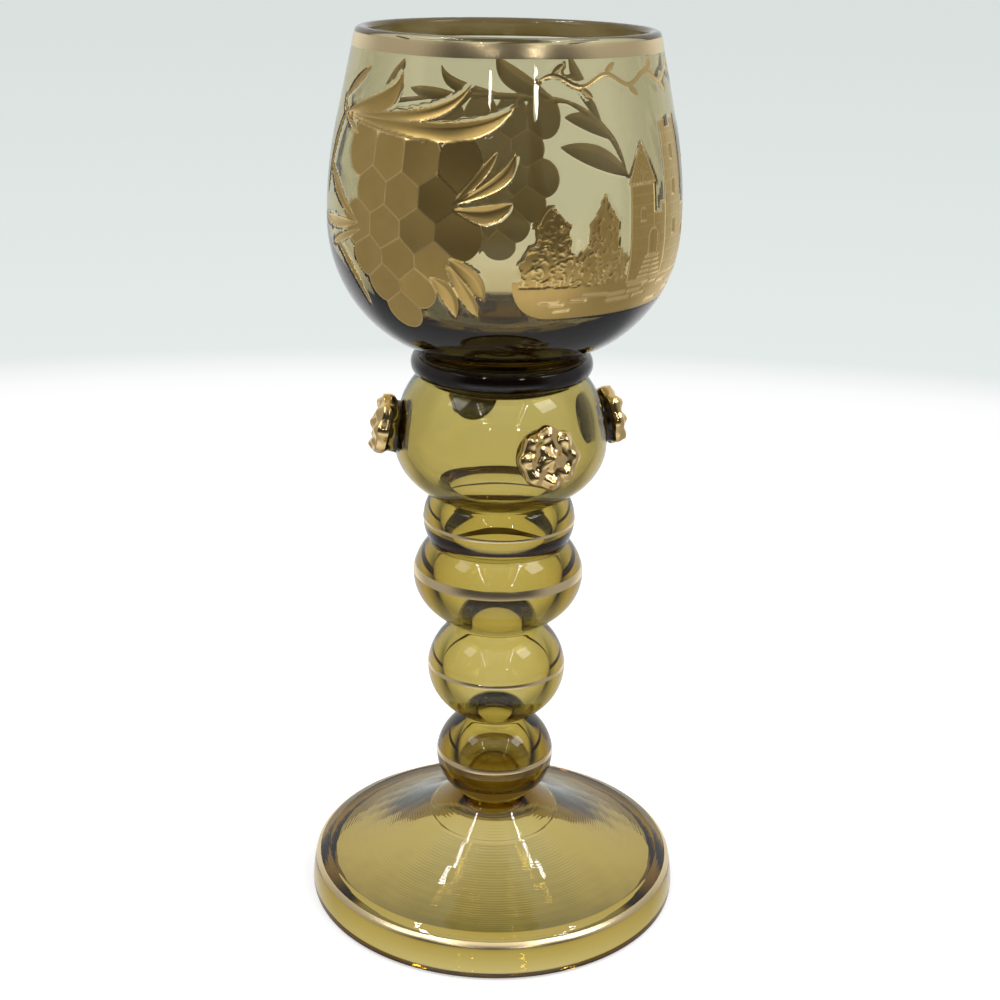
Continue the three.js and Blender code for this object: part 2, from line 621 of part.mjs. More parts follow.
place('grape_gilding_front', laidOnBowl(grapeMotif(FRONT_LEAVES), FRONT_GRAPE_AZIMUTH), mattGold);
place('grape_gilding_back', laidOnBowl(grapeMotif(BACK_LEAVES), BACK_GRAPE_AZIMUTH), mattGold);

// Vignette, drawn from its left end, with everything standing on the waterline
function water() {
  const low = WATERLINE_HEIGHT - WATER_DEPTH;
  const bank = WATERLINE_HEIGHT + BANK_HEIGHT;
  const end = WATER_DEPTH * 1.4;
  const shape = new THREE.Shape();
  shape.moveTo(0, bank);
  shape.quadraticCurveTo(0, low, end, low);
  shape.lineTo(VIGNETTE_LENGTH - end, low);
  shape.quadraticCurveTo(VIGNETTE_LENGTH, low, VIGNETTE_LENGTH, bank);
  shape.closePath();
  return shape;
}

// Outline of a bushy tree as shares of its half width and height
const TREE_OUTLINE = [
  [-1, 0], [1, 0], [0.9, 0.3], [0.55, 0.45], [0.5, 0.75], [0, 1], [-0.4, 0.8], [-0.6, 0.5], [-1, 0.3],
];

function tree({ at, height }) {
  const half = TREE_WIDTH / 2;
  return polygon(TREE_OUTLINE.map(([x, y]) => [at + half * x, WATERLINE_HEIGHT + height * y]));
}

// A wall or keep with merlons along its top
function battlement({ from, width, height }) {
  const base = WATERLINE_HEIGHT;
  const gaps = Math.max(1, Math.round(width / MERLON_WIDTH / 2 - 0.5));
  const notch = width / (2 * gaps + 1);
  const crown = Array.from({ length: 2 * gaps + 1 }, (_, i) => {
    const top = base + height - (i % 2 ? MERLON_HEIGHT : 0);
    return [[from + width - i * notch, top], [from + width - (i + 1) * notch, top]];
  }).flat();
  return polygon([[from, base], [from + width, base], ...crown]);
}

function turret({ from, height }) {
  const base = WATERLINE_HEIGHT;
  const to = from + TURRET_WIDTH;
  const eave = base + height;
  return polygon([
    [from, base], [to, base], [to, eave], [to + ROOF_EAVE, eave],
    [(from + to) / 2, eave + ROOF_HEIGHT], [from - ROOF_EAVE, eave], [from, eave],
  ]);
}

function vignette() {
  return [water(), ...TREES.map(tree), battlement(WALL), battlement(KEEP), ...TURRETS.map(turret)];
}

place('castle_gilding', laidOnBowl(vignette(), VIGNETTE_AZIMUTH), mattGold);

// Tendril: a waving stem with a small leaf at each crest
const TENDRIL_STEPS_PER_WAVE = 6;

function tendril() {
  const wave = (share) => TENDRIL_HEIGHT + TENDRIL_SWING * Math.sin(share * TENDRIL_WAVES * 2 * Math.PI);
  const steps = TENDRIL_WAVES * TENDRIL_STEPS_PER_WAVE;
  const line = Array.from({ length: steps + 1 }, (_, i) => i / steps);
  const edge = (side) => line.map((share) => (
    [share * TENDRIL_LENGTH, wave(share) + (side * TENDRIL_WIDTH) / 2]
  ));
  const crests = TENDRIL_WAVES * 2;
  const leaves = Array.from({ length: crests }, (_, i) => {
    const share = (i + 0.5) / crests;
    const foot = [share * TENDRIL_LENGTH - TENDRIL_WIDTH / 2, wave(share)];
    const side = i % 2 ? -1 : 1;
    const tip = [foot[0] + TENDRIL_LEAF.length, foot[1] + side * TENDRIL_LEAF.rise];
    const { swell } = TENDRIL_LEAF;
    return leaf(foot, tip, [swell, swell], [-swell, -swell]);
  });
  return [polygon([...edge(-1), ...edge(1).reverse()]), ...leaves];
}

place('tendril_gilding', laidOnBowl(tendril(), TENDRIL_AZIMUTH), polishedGold);

export default glass;
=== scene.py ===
# A gilt roemer glass on a white table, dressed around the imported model. Lengths in the helpers are
# millimetres and become metres in the meshes. Azimuth is in degrees, 0 at the front (-Y), rising to +X.
import math
from functools import partial

import bpy
import numpy as np
from mathutils import Matrix, Vector


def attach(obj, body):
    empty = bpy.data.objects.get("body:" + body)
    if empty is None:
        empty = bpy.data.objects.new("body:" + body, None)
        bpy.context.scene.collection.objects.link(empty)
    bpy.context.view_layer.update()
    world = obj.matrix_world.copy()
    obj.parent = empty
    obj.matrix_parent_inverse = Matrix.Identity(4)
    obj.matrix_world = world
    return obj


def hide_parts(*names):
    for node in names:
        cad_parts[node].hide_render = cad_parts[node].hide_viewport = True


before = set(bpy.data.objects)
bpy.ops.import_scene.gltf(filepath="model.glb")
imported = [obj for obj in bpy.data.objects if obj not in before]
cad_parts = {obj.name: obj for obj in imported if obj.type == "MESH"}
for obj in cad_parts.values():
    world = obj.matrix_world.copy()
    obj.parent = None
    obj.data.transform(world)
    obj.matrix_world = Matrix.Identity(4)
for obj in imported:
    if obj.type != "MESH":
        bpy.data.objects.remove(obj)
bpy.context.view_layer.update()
scene = bpy.context.scene

MM = 0.001
TURN = 2 * math.pi
BODY = "root"

# Sizes of the solids, as in the part's own source. Only the walls and bores of stem and bulb, the foot's
# thickness and the radius of the collar's plug are the scene's own: the solids' walls are thinner.
FOOT_RADIUS = 41.46
FOOT_SHOULDER_RADIUS = 39.8
FOOT_SHOULDER_HEIGHT = 8.0
FOOT_SHOULDER_ROUND = 1.2
FOOT_CONTACT = (37.6, 40.6)
FOOT_EDGE_ROUND = 0.9
FOOT_INNER_ROUND = 2.0
FOOT_THICKNESS = 4.8
FOOT_FLARE = 1.6
FOOT_HEIGHT = 23.5
FOOT_NECK_RADIUS = 8.3
FOOT_KICK_HEIGHT = 18.0
FOOT_KICK_RADIUS = 12.3
FOOT_BAND_WIDTH = 2.4
FOOT_RIM_HEIGHT = FOOT_SHOULDER_HEIGHT + FOOT_SHOULDER_ROUND
FOOT_BAND_INNER = FOOT_SHOULDER_RADIUS - FOOT_BAND_WIDTH
THROAT_LAND = 0.8
STEM_FLOOR = 3.0
STEM_FLOOR_RADIUS = 5.0
# Hollow balls of stem and bulb, from the foot up. Crease and bore are the radii at a ball's upper end, below
# and above are degrees of arc from its belly, and band and rise are the width and lift of its gilt band.
BULGE_SIZES = ("height", "belly_at", "belly", "crease", "below", "above", "wall", "bore", "band", "rise")
BULGES = {key: dict(zip(BULGE_SIZES, sizes)) for key, *sizes in (
    ("lower", 18.6, 8.8, 13.03, 6.35, 51.3, 60.5, 4.2, 4.0, 1.1, 1.1),
    ("middle", 22.4, 11.8, 15.13, 8.63, 65.5, 55.1, 3.1, 5.6, 0.9, 1.1),
    ("upper", 19.2, 11.5, 18.35, 14.73, 61.6, 36.9, 4.0, 11.0, 1.9, 1.5),
    ("ring", 10.7, 5.0, 16.26, 14.0, 50.4, 60.5, 3.4, 11.0, 0.7, 0.2),
    ("bulb", 26.2, 11.45, 22.47, 17.2, 57.1, 61.6, 2.3, 15.4),
)}
COLLAR_HEIGHT = 4.7
COLLAR_RADIUS = 19.0
COLLAR_SEAT_RADIUS = 17.2
COLLAR_PLUG_DEPTH = 2.2
COLLAR_PLUG_RADIUS = 15.5
BOWL_HEIGHT = 64.7
BOWL_BELLY_HEIGHT = 27.7
BOWL_BELLY_RADIUS = 35.75
BOWL_CORE_RADIUS = 9.8
BOWL_SHOULDER_HEIGHT = 46.7
BOWL_SHOULDER_ARC = 87.0
BOWL_FLOOR_HEIGHT = 5.2
BOWL_INNER_CORE_RADIUS = 9.0
BOWL_WALL = 2.5
RIM_BAND_DROP = 1.0
RIM_BAND_WIDTH = 2.6
PRUNT_AZIMUTHS = (23, 109, 197, -86)
PRUNT_HEIGHT_ABOVE_BELLY = 3.15
PRUNT_TILT = 12
PRUNT_RADIUS = 6.6
PRUNT_PROJECTION = 4.7

# Depth that fused pieces reach into each other, and the gold's place over and under the glass surface
FUSED = 0.15
GOLD_OVER = 0.07
GOLD_UNDER = 0.16
FOOT_BAND_UNDER = 0.12
TURNS = 192


# ---- meshes
def place(name, points, faces, materials, slot, replaced, face_materials=None, polish_and_highlight=None, crease=50):
    """Makes a piece from millimetre points, puts it on the body and lets it stand for its solids."""
    mesh = bpy.data.meshes.new(name)
    mesh.from_pydata((np.asarray(points) * MM).tolist(), [], faces)
    for material in materials:
        mesh.materials.append(material)
    if face_materials is not None:
        mesh.polygons.foreach_set("material_index", np.int32(face_materials))
    if polish_and_highlight is not None:
        mesh.attributes.new("polish_and_highlight", "FLOAT", "POINT").data.foreach_set("value", np.float32(polish_and_highlight))
    mesh.validate()
    mesh.shade_smooth()
    mesh.set_sharp_from_angle(angle=math.radians(crease))
    piece = bpy.data.objects.new(name, mesh)
    scene.collection.objects.link(piece)
    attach(piece, BODY)
    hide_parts(*replaced)


def round_axis(radius, angle, height):
    """Points round the axis, at angles from the front."""
    return np.stack(np.broadcast_arrays(radius * np.sin(angle), -radius * np.cos(angle), height), axis=1)


def ring(radius, height, count):
    """Points of one ring round the axis, or the single axis point where the radius is 0."""
    if np.isscalar(radius) and radius == 0:
        return np.array([[0.0, 0.0, height]])
    return round_axis(radius, TURN * np.arange(count) / count, height)


def skinned(rings, closed=False):
    """Joins rings into one skin. A ring may have half as many points as the one before it."""
    points = np.concatenate(rings)
    starts = np.cumsum([0] + [len(r) for r in rings])
    faces = []
    for i in range(len(rings) - (not closed)):
        k = (i + 1) % len(rings)
        a, b, low, high = starts[i], starts[k], len(rings[i]), len(rings[k])
        if low == high:
            faces += [(a + j, a + (j + 1) % low, b + (j + 1) % low, b + j) for j in range(low)]
        elif low == 1:
            faces += [(a, b + (j + 1) % high, b + j) for j in range(high)]
        elif high == 1:
            faces += [(a + j, a + (j + 1) % low, b) for j in range(low)]
        else:
            for j in range(high):
                first, mid, last = a + 2 * j, a + 2 * j + 1, a + (2 * j + 2) % low
                near, far = b + j, b + (j + 1) % high
                faces += [(first, mid, near), (mid, last, far), (mid, far, near)]
    return points, faces


def turned(profile, closed=False):
    return skinned([ring(float(r), float(z), TURNS) for r, z in profile], closed)


def rounded(corners, times=3):
    """Cuts the inner corners of an open line of points, again and again, keeping both ends."""
    line = [np.array(p, float) for p in corners]
    for _ in range(times):
        cut = [line[0]]
        for p, q in zip(line, line[1:]):
            cut += [0.75 * p + 0.25 * q, 0.25 * p + 0.75 * q]
        line = cut + [line[-1]]
    return [tuple(p) for p in line]


def softened(curve, spread):
    """The curve blurred along the height, which rounds its creases."""
    steps = np.linspace(-2, 2, 9)
    weights = np.exp(-steps ** 2 / 2)
    weights /= weights.sum()
    return lambda z: sum(w * curve(z + spread * s) for s, w in zip(steps, weights))


# ---- curves of the glass
def drawn_in(share, degrees):
    run = math.sin(math.radians(degrees))
    return (1 - np.sqrt(1 - (run * share) ** 2)) / (1 - math.sqrt(1 - run ** 2))


def bulge_radius(z, low, high, low_radius, high_radius, belly_z, belly, below, above):
    share_low = np.clip((belly_z - z) / (belly_z - low), 0, 1)
    share_high = np.clip((z - belly_z) / (high - belly_z), 0, 1)
    return np.where(z < belly_z,
                    belly - (belly - low_radius) * drawn_in(share_low, below),
                    belly - (belly - high_radius) * drawn_in(share_high, above))


outer, inner = {}, {}
low_z, low_radius, low_bore = FOOT_HEIGHT, FOOT_NECK_RADIUS, STEM_FLOOR_RADIUS
for key, b in BULGES.items():
    high_z, belly_z = low_z + b["height"], low_z + b["belly_at"]
    outer[key] = dict(low=low_z, high=high_z, low_radius=low_radius, high_radius=b["crease"],
                      belly_z=belly_z, belly=b["belly"], below=b["below"], above=b["above"])
    inner[key] = dict(outer[key], low=low_z + THROAT_LAND, high=high_z - THROAT_LAND,
                      low_radius=low_bore, high_radius=b["bore"], belly=b["belly"] - b["wall"])
    low_z, low_radius, low_bore = high_z, b["crease"], b["bore"]
inner["lower"]["low"] = FOOT_HEIGHT + STEM_FLOOR
STEM_KEYS = ("lower", "middle", "upper", "ring")


def stacked(curves, keys):
    """One radius curve through several bulges; the bore between two of them keeps its end radius."""
    def radius(z):
        found = bulge_radius(z, **curves[keys[0]])
        for key in keys[1:]:
            gap = (curves[key]["low"] + curves[keys[keys.index(key) - 1]]["high"]) / 2
            found = np.where(z > gap, bulge_radius(z, **curves[key]), found)
        return found
    return radius


def sampled(curves, keys, coarse, fine, reach):
    """Heights through the bulges, closer together near their creases."""
    low, high = curves[keys[0]]["low"], curves[keys[-1]]["high"]
    heights = list(np.linspace(low, high, int((high - low) / coarse) + 1))
    for key in keys:
        for end in (curves[key]["low"], curves[key]["high"]):
            heights += list(np.arange(max(low, end - reach), min(high, end + reach), fine))
    heights = np.unique(np.round(heights, 3))
    keep = np.concatenate([[True], np.diff(heights) > fine / 2])
    keep[-1] = True
    return heights[keep]


stem_outer = softened(stacked(outer, STEM_KEYS), 0.22)
stem_inner = softened(stacked(inner, STEM_KEYS), 0.35)
bulb_outer = softened(stacked(outer, ("bulb",)), 0.2)
bulb_inner = softened(stacked(inner, ("bulb",)), 0.3)


def foot_top(radius):
    share = (FOOT_BAND_INNER - radius) / (FOOT_BAND_INNER - FOOT_NECK_RADIUS)
    return FOOT_RIM_HEIGHT + (FOOT_HEIGHT - FOOT_RIM_HEIGHT) * np.clip(share, 0, 1) ** FOOT_FLARE


COLLAR_LOW = outer["bulb"]["high"]
COLLAR_HIGH = COLLAR_LOW + COLLAR_HEIGHT
BELLY_Z = COLLAR_HIGH + BOWL_BELLY_HEIGHT
SHOULDER_Z = COLLAR_HIGH + BOWL_SHOULDER_HEIGHT
LIP_Z = COLLAR_HIGH + BOWL_HEIGHT
FLOOR_Z = COLLAR_HIGH + BOWL_FLOOR_HEIGHT


def bowl_outer(z):
    share = np.clip((BELLY_Z - z) / BOWL_BELLY_HEIGHT, 0, 1)
    under = BOWL_CORE_RADIUS + (BOWL_BELLY_RADIUS - BOWL_CORE_RADIUS) * np.sqrt(1 - share ** 2)
    rise = np.clip(np.minimum(z, SHOULDER_Z) - BELLY_Z, 0, None)
    flat = np.sqrt(BOWL_SHOULDER_ARC ** 2 - rise ** 2)
    over = (BOWL_BELLY_RADIUS - (BOWL_SHOULDER_ARC - flat)
            - rise / flat * np.clip(z - SHOULDER_Z, 0, None))
    return np.where(z < BELLY_Z, np.maximum(COLLAR_SEAT_RADIUS, under), over)


def bowl_inner(z):
    share = np.clip((BELLY_Z - z) / (BELLY_Z - FLOOR_Z), 0, 1)
    belly = BOWL_BELLY_RADIUS - BOWL_WALL
    under = BOWL_INNER_CORE_RADIUS + (belly - BOWL_INNER_CORE_RADIUS) * np.sqrt(1 - share ** 2)
    return np.where(z < BELLY_Z, under, bowl_outer(z) - BOWL_WALL)


# ---- cut and gilt motifs
# A motif takes places on the unrolled bowl, millimetres to the right of its start and above the collar,
# and gives how far inside the gold a place is, how deep the wheel cut it, and how polished it is; the polish
# also lifts the gold's colour as a painted highlight.
BERRY_PITCH = 7.6
BERRY_RADIUS = 4.3
BERRY_CUT = 0.34
# Rows of berries: drop below the top, start in pitches, number
BERRY_ROWS = ((0.6, 0, 4), (7.9, 0.5, 3), (13.8, 0, 4), (19.4, 0.4, 3), (24.6, 0.9, 2), (29.5, 1.35, 1))
GRAPE_TOP_ROW = 44.0
FRONT_GRAPE_AZIMUTH = -51
BACK_GRAPE_AZIMUTH = 166
LEAF_CONTROLS = (0.35, 0.8)
LEAF_SPINE = 0.34
CURVE_POINTS = 19
OUTSIDE = -9.0
VINE_NODE = (-10, 5.3)
# Leaves: base and tip from the start of the top row, then how far the two control points of the left and of
# the right edge lie to the left of the line between them
FRONT_LEAVES = (
    (-12, 7.9, -1.6, 14.6, 1.2, 1, -1.2, -1), (-10.5, 5, -12.2, 8.8, 0.8, 0.8, -0.8, -0.8),
    (*VINE_NODE, -2.3, 2, 0.8, 0.6, -0.6, -0.6), (*VINE_NODE, 16.1, 2.2, 0.6, 0.6, -0.5, -0.5),
    (6, 6, 23.7, 2.4, 1.2, 1.0, -0.6, -0.6), (*VINE_NODE, 8.5, 14.5, 0.5, -3.8, -1.5, -11),
    (*VINE_NODE, 33.7, 9.2, -0.5, -4.1, -1.2, -11.8), (*VINE_NODE, 24.8, 13, -1, -4.9, -1.5, -10),
    (-15, -11, -9, 6.5, 3.1, 3.1, 0.9, 0.9), (22.1, -8.4, 30.3, 1.4, 1, 0.6, -1.6, -2),
    (22.1, -8.4, 33.7, 1.5, -0.6, -1.8, -2.5, -6.2), (22.1, -9.2, 33.4, -7.5, 0.3, 0.2, -4.5, -4.4),
    (17.3, -21.8, 22, -30, 5, 3.4, -0.5, -0.4), (21.2, -18, 28, -26, 3.6, 4, -2, -1.5),
    (20.8, -19, 26.7, -29.6, 2.2, 2.5, -1.6, -1.8), (0, -14, -14, -4, 2.3, 2.3, -0.9, -0.9),
    (0, -14, -17, -15, 2.3, 2.3, -0.9, -0.9), (-10.9, -17.7, -0.7, -30.2, 5, 3.5, 2.5, 1),
    (1, -15, -11.5, -19.5, 1.2, 1.2, -0.9, -0.9),
)
BACK_LEAVES = (
    (-1, 4.6, -23.5, -12.5, -4.9, -4.9, -7.3, -7.3), (-9, 3.2, 22, 4.3, 1.6, 1.4, -0.6, -0.6),
    (20, 4.3, 50, 4.2, 0.7, 0.7, -0.7, -0.7), (20, 4.2, 34.8, 6.8, 1.4, 1, -2.4, -2.4),
    (9.9, 4.6, 26.3, 11.3, -0.5, -2.5, -2.5, -7), (-3.3, 3.4, 11.7, 12.6, 1.6, 1, -3, -7),
    (-16, -0.6, -7.6, 13.7, 1.2, 1.2, -3, -3.6), (-19.2, -3.8, -5.4, 0.1, 4.2, 3.8, -1, -1),
    (-24.2, -10.8, -4.2, -6.7, 5.5, 3.2, -2.6, -2), (46, 4, 38, 13, 2, 4.4, -2.4, -1.4),
    (8, -1, 5, 5, 0.9, 0.9, -0.9, -0.9),
)


def ramp(value, low, high):
    share = np.clip((value - low) / (high - low), 0, 1)
    return share * share * (3 - 2 * share)


ARC_HEIGHTS = np.linspace(0, BOWL_HEIGHT, 260)
ARC_LENGTHS = np.concatenate([[0], np.cumsum(np.hypot(
    np.diff(ARC_HEIGHTS), np.diff(bowl_outer(COLLAR_HIGH + ARC_HEIGHTS))))])


def arc(y):
    """Length along the bowl's outline up to a height above the collar."""
    return np.interp(y, ARC_HEIGHTS, ARC_LENGTHS)


def berries(x, y):
    """Cut lenses side by side: deepest in their middles, with a ridge wherever two of them meet, where
    polish adds a painted highlight.
    """
    chance = np.random.RandomState(7)
    best, second = np.full((2, *x.shape), OUTSIDE)
    up = arc(y)
    for row, (drop, start, count) in enumerate(BERRY_ROWS):
        for i in range(count):
            cx = (start + i) * BERRY_PITCH + chance.uniform(-0.25, 0.25)
            cy = arc(GRAPE_TOP_ROW - drop + chance.uniform(-0.25, 0.25))
            radius = BERRY_RADIUS * (1.16 if (row, i) == (2, 3) else chance.uniform(0.98, 1.06))
            tilt_x, tilt_y = chance.uniform(-0.012, 0.012, 2)
            dx, dy = x - cx, up - cy
            tall = np.where(dy > 0, 0.62 if row == 0 else 0.9, 0.72 if row == 0 else 1.0)
            cut = BERRY_CUT * (1 - (dx ** 2 + tall * dy ** 2) / radius ** 2) + tilt_x * dx + tilt_y * dy
            second = np.maximum(second, np.minimum(best, cut))
            best = np.maximum(best, cut)
    # The ridges get polish: lower roughness and a painted highlight in the gold's colour.
    ridge = 0.8 * (1 - ramp(best - np.maximum(second, 0), 0.008, 0.045))
    return best / (2 * BERRY_CUT / BERRY_RADIUS), best + 0.05, ridge


def curve(p0, p1, p2, p3):
    t = np.linspace(0, 1, CURVE_POINTS)[:, None]
    return (1 - t) ** 3 * p0 + 3 * t * (1 - t) ** 2 * p1 + 3 * t ** 2 * (1 - t) * p2 + t ** 3 * p3


def path_gap(x, y, path):
    return np.min([line_gap(x, y, *a, *b) for a, b in zip(path, path[1:])], axis=0)


def leaf(x, y, base, tip, left, right):
    """One leaf: distance inside its edge, a mitre cut with its spine nearer the left edge, and polish with a
    painted highlight along both edges.
    """
    line = tip - base
    normal = np.array([-line[1], line[0]]) / np.hypot(*line)
    near, far = LEAF_CONTROLS
    edges = [curve(base, base + line * near + normal * a, base + line * far + normal * b, tip)
             for a, b in (left, right)]
    outline = np.concatenate([edges[1], edges[0][::-1]])
    low, high = outline.min(0) - 1, outline.max(0) + 1
    near_it = (x > low[0]) & (x < high[0]) & (y > low[1]) & (y < high[1])
    inside, depth = np.full((2, *x.shape), OUTSIDE)
    polish_and_highlight = np.zeros(x.shape)
    if not near_it.any():
        return inside, depth, polish_and_highlight
    px, py = x[near_it], y[near_it]
    within = inside_polygon(px, py, outline)
    to_left, to_right = path_gap(px, py, edges[0]), path_gap(px, py, edges[1])
    width = to_left + to_right
    share = to_left / np.maximum(width, 1e-6)
    deepest = 0.5 * (1 - np.exp(-0.42 * width))
    shape = np.where(share < LEAF_SPINE, share / LEAF_SPINE,
                     1 - ((share - LEAF_SPINE) / (1 - LEAF_SPINE)) ** 2)
    inside[near_it] = within
    depth[near_it] = np.where(within > 0, 0.16 + deepest * shape, OUTSIDE)
    # Polish along both edges, broader and stronger at the right edge, lifts the gold's colour as a painted
    # highlight.
    polish_and_highlight[near_it] = np.where(within > 0, (1 - ramp(to_left, 0.08, 0.34)) * 0.5
                               + (1 - ramp(to_right, 0.05, 0.4)) * 0.9, 0)
    return inside, depth, np.clip(polish_and_highlight, 0, 1)


def grapes(leaves, x, y):
    inside, depth, polish_and_highlight = berries(x, y)
    top = (0, GRAPE_TOP_ROW)
    for numbers in leaves:
        base, tip, left, right = np.reshape(numbers, (4, 2))
        into, cut, shine = leaf(x, y, base + top, tip + top, left, right)
        over = into > 0
        depth = np.where(over, np.where(cut > depth, cut, 0.5 * (cut + np.clip(depth, 0, 1))), depth)
        polish_and_highlight = np.where(over, shine, polish_and_highlight)
        inside = np.maximum(inside, into)
    return inside, depth, polish_and_highlight


def noise(x, y, size, seed):
    """Smooth random field with features of about the given size, from 0 to 1."""
    table = np.random.RandomState(seed).rand(64, 64)
    u, v = x / size + 100, y / size + 100
    i, j = np.floor(u).astype(int), np.floor(v).astype(int)
    a, b = ramp(u - i, 0, 1), ramp(v - j, 0, 1)
    corner = lambda p, q: table[(i + p) % 64, (j + q) % 64]
    return ((corner(0, 0) * (1 - a) + corner(1, 0) * a) * (1 - b)
            + (corner(0, 1) * (1 - a) + corner(1, 1) * a) * b)


def inside_polygon(x, y, corners):
    """Distance inside a polygon, negative outside."""
    corners = np.array([*corners, corners[0]], float)
    odd = np.zeros(x.shape, bool)
    for (ax, ay), (bx, by) in zip(corners, corners[1:]):
        if ay != by:
            odd ^= ((ay > y) != (by > y)) & (x < (bx - ax) * (y - ay) / (by - ay) + ax)
    gap = path_gap(x, y, corners)
    return np.where(odd, gap, -gap)


def line_gap(x, y, ax, ay, bx, by):
    """Distance from the piece of line between two points."""
    dx, dy = bx - ax, by - ay
    t = np.clip(((x - ax) * dx + (y - ay) * dy) / max(dx * dx + dy * dy, 1e-9), 0, 1)
    return np.hypot(x - ax - t * dx, y - ay - t * dy)


VIGNETTE_AZIMUTH = 2.5
VIGNETTE_LENGTH = 70
WATERLINE = 20.6
WATER_DEPTH = 6.4
BANK_HEIGHT = 1.3
TREE_WIDTH = 12.5
TREES = ((7.6, 15.5), (18.2, 16.8), (60.5, 14.2))
WALL = (24.5, 29.5, 14)
KEEP = (35.5, 9, 29)
TURRETS = ((24.5, 18), (47.5, 20))
TURRET_WIDTH = 7
ROOF_HEIGHT = 8
ROOF_EAVE = 0.7
MERLON_WIDTH = 2.4
MERLON_HEIGHT = 1.5
TREE_OUTLINE = ((-1, 0), (1, 0), (0.9, 0.3), (0.55, 0.45), (0.5, 0.75), (0, 1), (-0.4, 0.8),
                (-0.6, 0.5), (-1, 0.3))
TREE_STROKES = 190
WATER_STROKES = 26
GATE_X = 31.5
GATE_STEPS = 5
# Windows and the gate: middle, height of the arch's springing, width and height below it
WINDOWS = (
    (GATE_X, 28.5, 3.0, 3.4), (40, 30, 1.5, 2.2), (40, 37.5, 1.5, 2.2), (40, 44, 1.4, 2.0),
    (28, 33.5, 1.3, 1.8), (51, 28.5, 1.5, 2.2), (51, 35.2, 1.3, 1.8), (46, 28, 1.2, 1.7),
)


def battlement(start, width, height):
    gaps = max(1, round(width / MERLON_WIDTH / 2 - 0.5))
    notch = width / (2 * gaps + 1)
    crown = []
    for i in range(2 * gaps + 1):
        top = WATERLINE + height - (MERLON_HEIGHT if i % 2 else 0)
        crown += [(start + width - i * notch, top), (start + width - (i + 1) * notch, top)]
    return [(start, WATERLINE - 0.3), (start + width, WATERLINE - 0.3)] + crown


def turret_outline(start, height):
    end, eave = start + TURRET_WIDTH, WATERLINE + height
    return [(start, WATERLINE - 0.3), (end, WATERLINE - 0.3), (end, eave), (end + ROOF_EAVE, eave),
            ((start + end) / 2, eave + ROOF_HEIGHT), (start - ROOF_EAVE, eave), (start, eave)]


